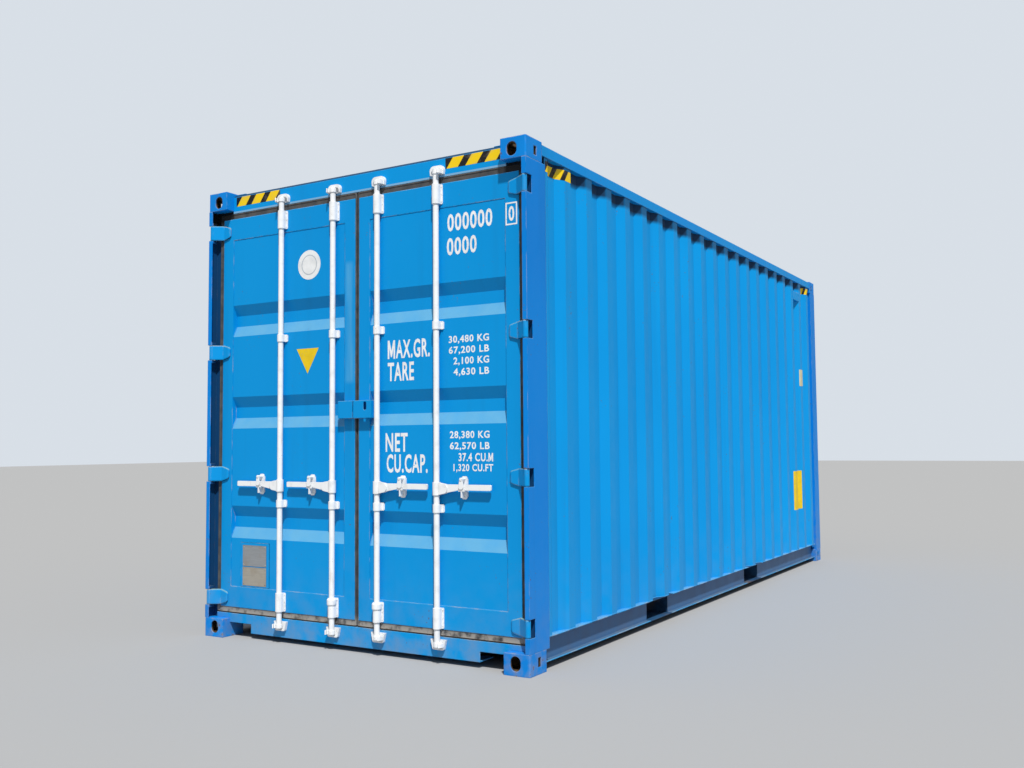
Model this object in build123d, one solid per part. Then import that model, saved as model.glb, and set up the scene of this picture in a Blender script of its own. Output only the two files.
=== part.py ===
from build123d import *
from math import cos, floor, radians, sin
import os

# A twenty-foot high-cube steel freight container, closed and locked, standing on its corner castings.
# It is drawn as seen by a person facing the doors: X to the right, Y into the container, Z up,
# with the origin on the ground under the middle. As each piece is written it is turned a quarter
# turn, so that the length runs along X, the doors face -X and their right-hand side is at -Y.

# Outside size
LENGTH = 6058.0
WIDTH = 2438.0
HEIGHT = 2896.0
HALF_L = LENGTH / 2
HALF_W = WIDTH / 2

# Corner castings and their apertures
CASTING_L = 178.0
CASTING_W = 162.0
CASTING_H = 118.0
CASTING_PLATE = 28.5
CASTING_WALL = 16.0
CASTING_ROUND = 8.0
SLOT_INSET_L = 102.5
SLOT_INSET_W = 89.5
LOCK_SLOT_L = 124.0
LOCK_SLOT_W = 63.5
END_HOLE_W = 63.5
SIDE_HOLE_W = 51.0
FACE_HOLE_H = 79.5
FACE_HOLE_PAST_PLATE = 4.0
SIDE_HOLE_FLAT_R = 9.0
SLOT_X = HALF_W - SLOT_INSET_W
SLOT_Y = HALF_L - SLOT_INSET_L

# Corner posts
POST_SKIN = 6.0
DOOR_POST_LIP = 29.0
DOOR_POST_SIDE = 214.0
FRONT_POST_LIP = 130.0
FRONT_POST_SIDE = 160.0
FRONT_POST_RETURN = 40.0
POST_RETURN = 47.0
POST_CHANNEL_L = 113.0
POST_CHANNEL_T = 12.0
OPENING_INSET = 46.0
CHANNEL_PAST_LEAF = 10.0
OPENING_HALF = HALF_W - OPENING_INSET

# Side rails, at the roof and at the floor
RAIL_SETBACK = 3.0
TOP_RAIL = 60.0
TOP_RAIL_T = 3.0
ROOF_DROP = 12.0
TOP_RAIL_Z = HEIGHT - ROOF_DROP
BASE_RAIL_BOTTOM = 42.0
BASE_RAIL_TOP = 178.0
BASE_RAIL_T = 4.5
BASE_RAIL_TOP_FLANGE = 48.0
BASE_RAIL_FOOT_FLANGE = 38.0
RAIL_FACE = HALF_W - RAIL_SETBACK

# Side walls: pressed sheet with upright troughs
SHEET_T = 2.0
SIDE_CREST = 72.0
SIDE_SLOPE = 68.0
SIDE_ROOT = 70.5
SIDE_DEPTH = 36.0
SIDE_FIRST_CREST = 37.0
SIDE_FACE = RAIL_FACE - 3.0
SIDE_PITCH = SIDE_CREST + 2 * SIDE_SLOPE + SIDE_ROOT

# Front wall
FRONT_CREST = 104.0
FRONT_SLOPE = 18.0
FRONT_ROOT = 110.0
FRONT_DEPTH = 45.6
FRONT_SETBACK = 6.0
FRONT_RAIL_SETBACK = 3.0

# Roof sheet with pressed pans across it
ROOF_EDGE_LAP = 30.0
PAN_PITCH = 209.0
PAN_LENGTH = 2180.0
PAN_WIDTH = 140.0
PAN_FLOOR = 90.0
PAN_DEPTH = 20.0
ROOF_PLATE_T = 3.0
ROOF_PLATE_W = 90.0

# Floor and underframe
FLOOR_T = 28.0
FLOOR_ROWS = 5
FLOOR_GAP = 2.0
FLOOR_STRIP_W = 75.0
FLOOR_STRIP_T = 4.0
CROSS_H = 122.0
CROSS_FLANGE = 45.0
CROSS_T = 4.0
CROSS_PITCH = 300.0
CROSS_BOTTOM = 43.0
FLOOR_BOTTOM = CROSS_BOTTOM + CROSS_H
FLOOR_TOP = FLOOR_BOTTOM + FLOOR_T
POCKET_W = 360.0
POCKET_H = 114.5
POCKET_BOTTOM = BASE_RAIL_BOTTOM + BASE_RAIL_T
POCKET_TOP = POCKET_BOTTOM + POCKET_H
POCKET_SPACING = 2050.0
POCKET_SHIFT = -185.0
POCKET_T = 4.0
POCKET_PLATE_L = 300.0

# Door header and sill, and how far the door end stands behind the castings' faces
LEAF_FACE = 59.0
END_PAST_LEAF = 2.0
HEADER_H = 124.0
HEADER_NOSE = 18.0
HEADER_DEPTH = 90.0
HEADER_T = 4.0
HEADER_SLOPE = 20.0
SILL_BOTTOM = 34.0
SILL_TOP = 150.0
SILL_DEPTH = 140.0
SILL_T = 6.0
THRESHOLD_CLEAR = 6.0
NOTCH_W = 190.0
NOTCH_TOP = 92.0
END_FACE = LEAF_FACE + END_PAST_LEAF
HEADER_BOTTOM = TOP_RAIL_Z - HEADER_H
CHANNEL_DEPTH = LEAF_FACE + CHANNEL_PAST_LEAF

# Door leaves: frame, pressed sheet and seal
LEAF_T = 50.0
LEAF_FOOT_GAP = 40.0
LEAF_HEAD_GAP = 38.0
LEAF_EDGE_GAP = 33.0
LEAF_MEET = 15.0
LEAF_BOTTOM = SILL_TOP + LEAF_FOOT_GAP
LEAF_TOP = HEADER_BOTTOM - LEAF_HEAD_GAP
LEAF_EDGE = OPENING_HALF - LEAF_EDGE_GAP
HINGE_STILE = 90.0
MEET_STILE = 83.0
TOP_MEMBER = 141.0
BOTTOM_MEMBER = 132.0
FRAME_T = 4.0
PANEL_SET = 3.0
LOW_TROUGH_RISE = 414.0
HIGH_TROUGH_DROP = 538.5
MIDDLE_TROUGH_SHARE = 0.54
TROUGH_SLOPE = 68.0
TROUGH_ROOT = 70.0
TROUGH_DEPTH = 35.0
SEAL_PAST_LEAF = 3.0
SEAL_W = 36.0
SEAL_LIP = 7.0
SEAL_CLEAR = 1.0
SEAL_MEET = 5.0

# Hinges
HINGE_COUNT = 4
HINGE_FOOT = 60.0
HINGE_HEAD = 87.0
PIN_INSET_X = 19.0
PIN_INSET_Y = 15.0
PIN_R = 9.0
PIN_CLEAR = 0.08
KNUCKLE_R = 15.0
BLADE_H = 95.0
BLADE_NOSE_H = 62.0
BLADE_T = 10.0
BLADE_LAP = 68.0
BLADE_ROUND = 18.0
NECK_FRONT = 11.2
NECK_BACK = 13.5
NECK_PAST_PIN = 3.0
LUG_T = 18.0
LUG_CLEAR = 2.0
LUG_ROUND = 6.0
POST_CUT_PAST_LEAF = 3.0

# Lock bars, with their cams and bearings
BAR_PLACES = {"inner": 172.0, "outer": 600.0}
BAR_R = 16.7
BAR_STAND_OFF = 25.0
BAR_STUB = 5.0
BEARING_CLEAR = 0.08
CAM_R = 30.0
CAM_HUB_R = 21.0
CAM_H = 24.0
CAM_HALF_ANGLE = 38.0
CAM_RISE = 26.0
CAM_DROP = 42.0
KEEPER_GAP = 3.5
KEEPER_WALL = 8.0
TOP_KEEPER_ROUND = 28.0
TOP_KEEPER_CAP_HALF_W = 52.0
TOP_KEEPER_MOUTH_HALF_W = 46.0
TOP_KEEPER_REACH = 40.0
TOP_KEEPER_SKIRT = 13.0
TOP_KEEPER_CAP = 18.0
LOW_KEEPER_ROUND = 12.0
LOW_KEEPER_CAP_HALF_W = 38.0
LOW_KEEPER_MOUTH_HALF_W = 51.0
LOW_KEEPER_REACH = 30.0
LOW_KEEPER_SKIRT = 27.0
LOW_KEEPER_CAP = 8.0
KEEPER_PLATE = 5.0
KEEPER_GUARD_SET = 8.0
KEEPER_LIP_ANGLE = 50.0
BLOCK_H = 115.0
BLOCK_INSET = 6.0
BLOCK_HALF_W = 30.0
BLOCK_R = 23.0
SHOULDER_R = 29.0
SHOULDER_H = 46.0
SHOULDER_ROUND = 12.0
GUIDE_H = 46.0
GUIDE_HEIGHTS = (864.0, 1902.0)
GUIDE_HALF_W = 34.0
GUIDE_R = 22.0
BRACKET_PLATE = 5.0
BAR_DEPTH = LEAF_FACE - BAR_STAND_OFF
TOP_CAM_Z = HEADER_BOTTOM + CAM_RISE
BOTTOM_CAM_Z = SILL_TOP - CAM_DROP

# Handles, their catches and the hasps that cover them
HANDLE_Z = 985.0
HANDLE_REACH = 365.0
HANDLE_T = 12.0
HANDLE_TAPER = 100.0
PIVOT_REACH = 51.0
PIVOT_DROP = 9.0
PIVOT_R = 7.0
EYE_R = 25.0
EAR_R = 28.0
EAR_T = 6.0
EAR_CLEAR = 0.4
COLLAR_R = 23.0
COLLAR_H = 74.0
GRIP_HALF_H = 16.0
GRIP_ROUND = 7.0
CATCH_REACH = 175.0
CATCH_W = 38.0
CATCH_ROUND = 12.5
CATCH_TOP = 62.0
CATCH_FOOT = 66.0
CATCH_WEB = 8.0
SHELF_T = 6.0
SHELF_CLEAR = 0.3
SHELF_OUT = 37.0
LIP_H = 9.0
LIP_T = 4.0
HASP_PIVOT_UP = 46.0
HASP_T = 5.0
HASP_LENGTH = 56.0
HASP_R = 9.0
HASP_END_W = 34.0
HASP_PIN_R = 5.0
HASP_HEAD_T = 3.0
HASP_PAST_HANDLE = 6.4
BOSS_R = 8.0

# Lock box over the joint of the leaves
LOCK_BOX_LEFT = 115.0
LOCK_BOX_RIGHT = 138.0
LOCK_BOX_BOTTOM = 1385.0
LOCK_BOX_H = 105.0
LOCK_BOX_OUT = 40.0
LOCK_BOX_T = 4.0
LOCK_BOX_GAP = 3.0
LOCK_BOX_SLOT_X = 92.0
LOCK_BOX_SLOT_W = 22.0
LOCK_BOX_SLOT_H = 50.0
LOCK_BOX_SLOT_DROP = 33.0

# Ventilator hoods, each closing a stretch of one wall trough
VENT_H = 82.0
VENT_DROP = 216.0
VENT_PROUD = 3.0


def slab(x0, x1, y0, y1, z0, z1):
    """A straight block between two corners."""
    return Pos((x0 + x1) / 2, (y0 + y1) / 2, (z0 + z1) / 2) * Box(x1 - x0, y1 - y0, z1 - z0)


def upright(points, z0, z1):
    """A plan outline raised from one height to another."""
    outline = make_face(Polyline([(x, y, z0) for x, y in points], close=True))
    return extrude(outline, amount=z1 - z0, dir=(0, 0, 1))


def lengthwise(points, y0, y1):
    """An outline across the container, run along its length."""
    outline = make_face(Polyline([(x, y0, z) for x, z in points], close=True))
    return extrude(outline, amount=y1 - y0, dir=(0, 1, 0))


def crosswise(points, x0, x1):
    """An outline along the container, run across its width."""
    outline = make_face(Polyline([(x0, y, z) for y, z in points], close=True))
    return extrude(outline, amount=x1 - x0, dir=(1, 0, 0))


def post(radius, x, y, z0, z1):
    """An upright round bar."""
    return Pos(x, y, (z0 + z1) / 2) * Cylinder(radius, z1 - z0)


def across(radius, x, y0, y1, z):
    """A round bar that runs along the length."""
    return Pos(x, (y0 + y1) / 2, z) * Rot(90, 0, 0) * Cylinder(radius, y1 - y0)


def depth(value):
    """The place along the length that lies this far behind the door-end faces of the castings."""
    return value - HALF_L


def mirrored(shape):
    """The same piece on the other side of the container."""
    return mirror(shape, about=Plane.YZ)


def fused(pieces):
    """One piece welded up from several."""
    return Part() + list(pieces)


def write(name, pieces):
    """Write one node, turned so that the container's length runs along X."""
    turned = [Rot(0, 0, -90) * solid for piece in pieces for solid in piece.solids()]
    shape = turned[0] if len(turned) == 1 else Compound(children=turned)
    export_step(shape, os.path.join("parts", name + ".step"))


def corner_casting(side, end, top):
    """A hollow corner casting: a slot in its top or bottom plate and a hole in each outer face."""
    x0, x1 = sorted((side * HALF_W, side * (HALF_W - CASTING_W)))
    y0, y1 = sorted((end * HALF_L, end * (HALF_L - CASTING_L)))
    z0 = HEIGHT - CASTING_H if top else 0.0
    z1 = z0 + CASTING_H
    body = slab(x0, x1, y0, y1, z0, z1)
    outer = [e for e in body.edges().filter_by(Axis.Z)
             if abs(e.center().X - side * HALF_W) < 1 and abs(e.center().Y - end * HALF_L) < 1]
    body = fillet(outer, CASTING_ROUND)
    hollow0 = z0 + (CASTING_WALL if top else CASTING_PLATE)
    hollow1 = z1 - (CASTING_PLATE if top else CASTING_WALL)
    body -= slab(x0 + CASTING_WALL, x1 - CASTING_WALL, y0 + CASTING_WALL, y1 - CASTING_WALL,
                 hollow0, hollow1)
    slot_x = side * SLOT_X
    slot_y = end * SLOT_Y
    plate_z = z1 - CASTING_PLATE / 2 if top else z0 + CASTING_PLATE / 2
    slot = extrude(SlotOverall(LOCK_SLOT_L, LOCK_SLOT_W, rotation=90), CASTING_PLATE / 2 + 1, both=True)
    body -= Pos(slot_x, slot_y, plate_z) * slot
    hole_rise = CASTING_PLATE + FACE_HOLE_H / 2 - FACE_HOLE_PAST_PLATE
    hole_z = z1 - hole_rise if top else z0 + hole_rise
    end_hole = SlotOverall(FACE_HOLE_H, END_HOLE_W, rotation=90)
    body -= Pos(slot_x, end * (HALF_L - CASTING_WALL / 2), hole_z) * Rot(90, 0, 0) * extrude(
        end_hole, CASTING_WALL, both=True)
    arch = Pos(0, (FACE_HOLE_H - SIDE_HOLE_W) / 2) * Circle(SIDE_HOLE_W / 2)
    straight = Pos(0, -SIDE_HOLE_W / 4) * Rectangle(SIDE_HOLE_W, FACE_HOLE_H - SIDE_HOLE_W / 2)
    straight = fillet(straight.vertices().group_by(Axis.Y)[0], SIDE_HOLE_FLAT_R)
    side_hole = arch + straight
    body -= Pos(side * (HALF_W - CASTING_WALL / 2), slot_y, hole_z) * Rot(90, 0, 90) * extrude(
        side_hole, CASTING_WALL, both=True)
    return body


def hinge_place():
    """The hinge pin's line on the right-hand side."""
    return HALF_W - PIN_INSET_X, depth(PIN_INSET_Y)


def hinge_heights():
    """The middle of each hinge, spread evenly up the leaf."""
    low, high = LEAF_BOTTOM + HINGE_FOOT, LEAF_TOP - HINGE_HEAD
    return [low + (high - low) * i / (HINGE_COUNT - 1) for i in range(HINGE_COUNT)]


def door_post():
    """The right-hand door post: a folded skin, a rolled channel inside it and lugs for four hinges."""
    inner = HALF_W - POST_SKIN
    skin = upright([
        (HALF_W - DOOR_POST_LIP, depth(0)), (HALF_W, depth(0)), (HALF_W, depth(DOOR_POST_SIDE)),
        (HALF_W - POST_RETURN, depth(DOOR_POST_SIDE)),
        (HALF_W - POST_RETURN, depth(DOOR_POST_SIDE - POST_SKIN)),
        (inner, depth(DOOR_POST_SIDE - POST_SKIN)), (inner, depth(POST_SKIN)),
        (HALF_W - DOOR_POST_LIP, depth(POST_SKIN)),
    ], CASTING_H, HEIGHT - CASTING_H)
    web = OPENING_HALF + POST_CHANNEL_T
    near, far = CHANNEL_DEPTH, CHANNEL_DEPTH + POST_CHANNEL_L
    channel = upright([
        (OPENING_HALF, depth(near)), (inner, depth(near)), (inner, depth(near + POST_CHANNEL_T)),
        (web, depth(near + POST_CHANNEL_T)), (web, depth(far - POST_CHANNEL_T)),
        (inner, depth(far - POST_CHANNEL_T)), (inner, depth(far)), (OPENING_HALF, depth(far)),
    ], CASTING_H, HEIGHT - CASTING_H)
    pin_x, pin_y = hinge_place()
    lugs = []
    pockets = []
    for z in hinge_heights():
        gap = BLADE_H / 2 + LUG_CLEAR
        pockets.append(slab(pin_x - KNUCKLE_R - LUG_CLEAR, WIDTH, depth(-POST_SKIN),
                            depth(LEAF_FACE + POST_CUT_PAST_LEAF), z - gap, z + gap))
        for low in (z + gap, z - gap - LUG_T):
            lug = slab(pin_x - KNUCKLE_R, inner, depth(POST_SKIN), pin_y + 2 * KNUCKLE_R, low, low + LUG_T)
            lugs.append(fillet(lug.edges().filter_by(Axis.Z).sort_by(Axis.X)[0:2], LUG_ROUND))
    body = fused([skin, channel] + lugs) - pockets
    bores = [post(PIN_R, pin_x, pin_y, z - BLADE_H, z + BLADE_H) for z in hinge_heights()]
    return body - bores


def hinge_pins():
    """Four pins in one post, each through two lugs."""
    pin_x, pin_y = hinge_place()
    half = BLADE_H / 2 + LUG_CLEAR + LUG_T
    return [post(PIN_R, pin_x, pin_y, z - half, z + half) for z in hinge_heights()]


def front_post():
    """The right-hand post of the closed end: one folded skin."""
    inner = HALF_W - POST_SKIN
    edge = HALF_W - FRONT_POST_LIP
    outline = [
        (HALF_W, 0), (HALF_W, FRONT_POST_SIDE), (HALF_W - POST_RETURN, FRONT_POST_SIDE),
        (HALF_W - POST_RETURN, FRONT_POST_SIDE - POST_SKIN), (inner, FRONT_POST_SIDE - POST_SKIN),
        (inner, POST_SKIN), (edge + POST_SKIN, POST_SKIN), (edge + POST_SKIN, FRONT_POST_RETURN),
        (edge, FRONT_POST_RETURN), (edge, 0),
    ]
    return upright([(x, HALF_L - back) for x, back in outline], CASTING_H, HEIGHT - CASTING_H)


def trough_line(start, end, first, crest, slope, root):
    """Places and levels along a pressed sheet: 0 on a crest and 1 in a trough, cut off at its end."""
    steps = [(first, 0, 0)]
    while sum(s[0] for s in steps) < end - start:
        steps += [(slope, 0, 1), (root, 1, 1), (slope, 1, 0), (crest, 0, 0)]
    line = [(start, 0.0)]
    for run, low, high in steps:
        here = line[-1][0]
        if here + run >= end:
            line.append((end, low + (high - low) * (end - here) / run))
            break
        line.append((here + run, float(high)))
    return line


def side_wall():
    """The right-hand wall: one pressed sheet between the posts and the rails."""
    line = trough_line(depth(DOOR_POST_SIDE), HALF_L - FRONT_POST_SIDE, SIDE_FIRST_CREST,
                       SIDE_CREST, SIDE_SLOPE, SIDE_ROOT)
    outer = [(SIDE_FACE - SIDE_DEPTH * level, y) for y, level in line]
    inner = [(x - SHEET_T, y) for x, y in reversed(outer)]
    sheet = upright(outer + inner, BASE_RAIL_TOP, TOP_RAIL_Z - TOP_RAIL)
    return sheet - slab(SIDE_FACE - 2 * SIDE_DEPTH, HALF_W, HALF_L - CASTING_L, HALF_L,
                        HEIGHT - CASTING_H, HEIGHT)


def front_wall():
    """The closed end: one sheet with deeper troughs, between the posts and the end rails."""
    half = HALF_W - FRONT_POST_LIP
    pitch = FRONT_CREST + 2 * FRONT_SLOPE + FRONT_ROOT
    troughs = floor((2 * half - FRONT_CREST / 2) / pitch)
    first = (2 * half - (troughs * pitch - FRONT_CREST)) / 2
    line = trough_line(-half, half, first, FRONT_CREST, FRONT_SLOPE, FRONT_ROOT)
    outer = [(x, HALF_L - FRONT_SETBACK - FRONT_DEPTH * level) for x, level in line]
    inner = [(x, y - SHEET_T) for x, y in reversed(outer)]
    sheet = upright(outer + inner, BASE_RAIL_TOP, TOP_RAIL_Z - TOP_RAIL)
    corner = slab(HALF_W - CASTING_W, HALF_W, HALF_L - CASTING_L, HALF_L, HEIGHT - CASTING_H, HEIGHT)
    return sheet - [corner, mirrored(corner)]


def top_side_rail():
    """A square tube along the top of the right-hand wall."""
    run = HALF_L - CASTING_L
    tube = slab(RAIL_FACE - TOP_RAIL, RAIL_FACE, -run, run, TOP_RAIL_Z - TOP_RAIL, TOP_RAIL_Z)
    bore = slab(RAIL_FACE - TOP_RAIL + TOP_RAIL_T, RAIL_FACE - TOP_RAIL_T, -run, run,
                TOP_RAIL_Z - TOP_RAIL + TOP_RAIL_T, TOP_RAIL_Z - TOP_RAIL_T)
    return tube - bore


def front_rail_span():
    """Where the end rails of the closed end lie along the length."""
    outer = HALF_L - FRONT_RAIL_SETBACK
    return outer - TOP_RAIL, outer


def pocket_places():
    """The middle of each fork pocket along the length."""
    return [POCKET_SHIFT - POCKET_SPACING / 2, POCKET_SHIFT + POCKET_SPACING / 2]


def pocket_half_span():
    """Half the length of the base rail that each fork pocket takes up."""
    return POCKET_W / 2 + POCKET_T


def rail_web():
    """How far out the base rail's web stands; the underframe runs between the two webs."""
    return SIDE_FACE - BASE_RAIL_TOP_FLANGE


def base_rail_run(y0, y1):
    """A stretch of the channel along the foot of the right-hand wall, open to the outside."""
    web = rail_web()
    foot = web + BASE_RAIL_FOOT_FLANGE
    t = BASE_RAIL_T
    return lengthwise([
        (web, BASE_RAIL_BOTTOM), (foot, BASE_RAIL_BOTTOM), (foot, BASE_RAIL_BOTTOM + t),
        (web + t, BASE_RAIL_BOTTOM + t), (web + t, BASE_RAIL_TOP - t), (SIDE_FACE, BASE_RAIL_TOP - t),
        (SIDE_FACE, BASE_RAIL_TOP), (web, BASE_RAIL_TOP),
    ], y0, y1)


def base_side_rail():
    """The base rail of the right-hand wall, in runs between the corners and the fork pockets."""
    reach = HALF_L - CASTING_L
    ends = [-reach]
    for y in pocket_places():
        ends += [y - pocket_half_span(), y + pocket_half_span()]
    ends.append(reach)
    runs = [base_rail_run(y0, y1) for y0, y1 in zip(ends[0::2], ends[1::2])]
    runs[0] -= slab(rail_web() - BASE_RAIL_T, HALF_W, -reach, depth(DOOR_POST_SIDE), CASTING_H, HEIGHT)
    return runs


def fork_pocket(y):
    """One pocket right across the underframe, of welded plates: a roof and two sides, and at each
    mouth a plate underneath and the two flanges that carry the base rail past it."""
    web = rail_web()
    edge = web + BASE_RAIL_T
    near, far = POCKET_W / 2, pocket_half_span()
    roof = slab(-web, web, y - far, y + far, POCKET_TOP, POCKET_TOP + POCKET_T)
    sides = [slab(-edge, edge, *sorted((y + s * near, y + s * far)), BASE_RAIL_BOTTOM, POCKET_TOP)
             for s in (-1, 1)]
    plate = slab(web - POCKET_PLATE_L, edge, y - near, y + near, BASE_RAIL_BOTTOM, POCKET_BOTTOM)
    foot = slab(edge, web + BASE_RAIL_FOOT_FLANGE, y - far, y + far, BASE_RAIL_BOTTOM, POCKET_BOTTOM)
    head = lengthwise([
        (web, POCKET_TOP), (edge, POCKET_TOP), (edge, BASE_RAIL_TOP - BASE_RAIL_T),
        (SIDE_FACE, BASE_RAIL_TOP - BASE_RAIL_T), (SIDE_FACE, BASE_RAIL_TOP), (web, BASE_RAIL_TOP),
    ], y - far, y + far)
    mouth = [plate, foot, head]
    return [roof] + sides + mouth + [mirrored(piece) for piece in mouth]


def cross_members():
    """Channels under the floor at an even pitch, left out where the fork pockets run."""
    web = rail_web()
    first = depth(END_FACE + SILL_DEPTH + CROSS_PITCH / 2)
    members = []
    for i in range(floor((HALF_L - CASTING_L - first) / CROSS_PITCH) + 1):
        y = first + i * CROSS_PITCH
        near = pocket_half_span() + CROSS_FLANGE
        if min(abs(y - p) for p in pocket_places()) < near:
            continue
        members.append(crosswise([
            (y, CROSS_BOTTOM), (y + CROSS_FLANGE, CROSS_BOTTOM), (y + CROSS_FLANGE, CROSS_BOTTOM + CROSS_T),
            (y + CROSS_T, CROSS_BOTTOM + CROSS_T), (y + CROSS_T, FLOOR_BOTTOM - CROSS_T),
            (y + CROSS_FLANGE, FLOOR_BOTTOM - CROSS_T), (y + CROSS_FLANGE, FLOOR_BOTTOM), (y, FLOOR_BOTTOM),
        ], -web, web))
    return members


def floor_boards():
    """Plywood boards in two columns, either side of a steel strip."""
    half = rail_web()
    start = depth(END_FACE + SILL_DEPTH)
    end = front_rail_span()[0]
    row = (end - start) / FLOOR_ROWS
    boards = []
    for side in (-1, 1):
        for i in range(FLOOR_ROWS):
            x0, x1 = sorted((side * (FLOOR_STRIP_W / 2 + FLOOR_GAP), side * half))
            y0 = start + i * row
            boards.append(slab(x0, x1, y0 + FLOOR_GAP / 2, y0 + row - FLOOR_GAP / 2, FLOOR_BOTTOM, FLOOR_TOP))
    return boards


def floor_strip():
    """The inverted steel channel between the two columns of boards."""
    start = depth(END_FACE + SILL_DEPTH)
    end = front_rail_span()[0]
    half = FLOOR_STRIP_W / 2
    return lengthwise([
        (-half, FLOOR_BOTTOM), (-half, FLOOR_TOP), (half, FLOOR_TOP), (half, FLOOR_BOTTOM),
        (half - FLOOR_STRIP_T, FLOOR_BOTTOM), (half - FLOOR_STRIP_T, FLOOR_TOP - FLOOR_STRIP_T),
        (FLOOR_STRIP_T - half, FLOOR_TOP - FLOOR_STRIP_T), (FLOOR_STRIP_T - half, FLOOR_BOTTOM),
    ], start, end)


def pan(y, sink):
    """One pressed pan of the roof, or the hollow above it when it is sunk less."""
    top = TOP_RAIL_Z + SHEET_T
    mouth = Pos(0, y, top) * Rectangle(PAN_LENGTH - 2 * sink, PAN_WIDTH - 2 * sink)
    taper = (PAN_WIDTH - PAN_FLOOR) / 2
    base = Pos(0, y, top - PAN_DEPTH - SHEET_T + sink) * Rectangle(
        PAN_LENGTH - 2 * taper - 2 * sink, PAN_FLOOR - 2 * sink)
    return loft([mouth, base])


def roof():
    """The roof sheet: flat at its edges, with a row of pans pressed down across it."""
    half_x = RAIL_FACE - TOP_RAIL + ROOF_EDGE_LAP
    start, end = depth(END_FACE + HEADER_DEPTH - ROOF_EDGE_LAP), HALF_L - FRONT_SETBACK - ROOF_EDGE_LAP
    inset_x = HALF_W - CASTING_W
    low, high = depth(CASTING_L), HALF_L - CASTING_L
    sheet = upright([
        (-inset_x, start), (inset_x, start), (inset_x, low), (half_x, low), (half_x, high),
        (inset_x, high), (inset_x, end), (-inset_x, end), (-inset_x, high), (-half_x, high),
        (-half_x, low), (-inset_x, low),
    ], TOP_RAIL_Z, TOP_RAIL_Z + SHEET_T)
    count = floor((high - low) / PAN_PITCH)
    first = -(count - 1) * PAN_PITCH / 2
    places = [first + i * PAN_PITCH for i in range(count)]
    pans = [pan(y, 0.0) for y in places]
    hollows = [pan(y, SHEET_T) for y in places]
    return (sheet + pans) - hollows


def roof_plates():
    """A doubling plate on the roof beside each corner casting."""
    top = TOP_RAIL_Z + SHEET_T
    plates = []
    for side in (-1, 1):
        for end in (-1, 1):
            x0, x1 = sorted((side * (HALF_W - CASTING_W), side * (HALF_W - CASTING_W - ROOF_PLATE_W)))
            y1 = HALF_L - FRONT_SETBACK - ROOF_EDGE_LAP if end > 0 else HALF_L - END_FACE - HEADER_SLOPE
            plates.append(slab(x0, x1, *sorted((end * y1, end * (HALF_L - CASTING_L))),
                               top, top + ROOF_PLATE_T))
    return plates


def header():
    """The box beam over the doors, with the strip that closes the opening under the castings."""
    near, far = END_FACE, END_FACE + HEADER_DEPTH
    nose = TOP_RAIL_Z - HEADER_NOSE
    outer = [(depth(near), HEADER_BOTTOM), (depth(near), nose),
             (depth(near + HEADER_SLOPE), TOP_RAIL_Z), (depth(far), TOP_RAIL_Z), (depth(far), HEADER_BOTTOM)]
    t = HEADER_T
    inner = [(depth(near + t), HEADER_BOTTOM + t), (depth(near + t), nose - t / 2),
             (depth(near + HEADER_SLOPE + t / 2), TOP_RAIL_Z - t), (depth(far - t), TOP_RAIL_Z - t),
             (depth(far - t), HEADER_BOTTOM + t)]
    half = HALF_W - CASTING_W
    beam = crosswise(outer, -half, half) - crosswise(inner, -half, half)
    strip = slab(-OPENING_HALF, OPENING_HALF, depth(CHANNEL_DEPTH + t), depth(far),
                 HEADER_BOTTOM, HEIGHT - CASTING_H)
    strip -= slab(-half, half, depth(0), depth(2 * far), HEADER_BOTTOM - 1, HEIGHT)
    return beam + strip


def sill():
    """The beam under the doors: a channel with a raised threshold, notched beside the castings."""
    t = SILL_T
    step = LEAF_FACE + LEAF_T + THRESHOLD_CLEAR
    far = END_FACE + SILL_DEPTH
    section = [
        (depth(END_FACE), SILL_BOTTOM), (depth(END_FACE), SILL_TOP), (depth(step), SILL_TOP),
        (depth(step), FLOOR_TOP), (depth(far), FLOOR_TOP), (depth(far), FLOOR_TOP - t),
        (depth(step + t), FLOOR_TOP - t), (depth(step + t), SILL_TOP - t),
        (depth(END_FACE + t), SILL_TOP - t), (depth(END_FACE + t), SILL_BOTTOM + t),
        (depth(far), SILL_BOTTOM + t), (depth(far), SILL_BOTTOM),
    ]
    half = HALF_W - CASTING_W
    beam = crosswise(section, -OPENING_HALF, OPENING_HALF)
    for side in (-1, 1):
        x0, x1 = sorted((side * half, side * (OPENING_HALF + 1)))
        beam -= slab(x0, x1, depth(0), depth(CASTING_L), 0, CASTING_H)
        beam -= slab(x0, x1, depth(CASTING_L), depth(2 * CASTING_L), 0, CASTING_H)
        x0, x1 = sorted((side * half, side * (half - NOTCH_W)))
        beam -= slab(x0, x1, depth(0), depth(far + 1), SILL_BOTTOM - 1, NOTCH_TOP)
    return beam


def front_rails():
    """The two end rails of the closed end: a tube at the roof and a channel at the floor."""
    half = HALF_W - CASTING_W
    y0, y1 = front_rail_span()
    t = TOP_RAIL_T
    tube = slab(-half, half, y0, y1, TOP_RAIL_Z - TOP_RAIL, TOP_RAIL_Z)
    tube -= slab(-half, half, y0 + t, y1 - t, TOP_RAIL_Z - TOP_RAIL + t, TOP_RAIL_Z - t)
    t = BASE_RAIL_T
    channel = crosswise([
        (y0, BASE_RAIL_BOTTOM), (y1, BASE_RAIL_BOTTOM), (y1, BASE_RAIL_TOP), (y0, BASE_RAIL_TOP),
        (y0, BASE_RAIL_TOP - t), (y1 - t, BASE_RAIL_TOP - t), (y1 - t, BASE_RAIL_BOTTOM + t),
        (y0, BASE_RAIL_BOTTOM + t),
    ], -half, half)
    return [tube, channel]


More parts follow.
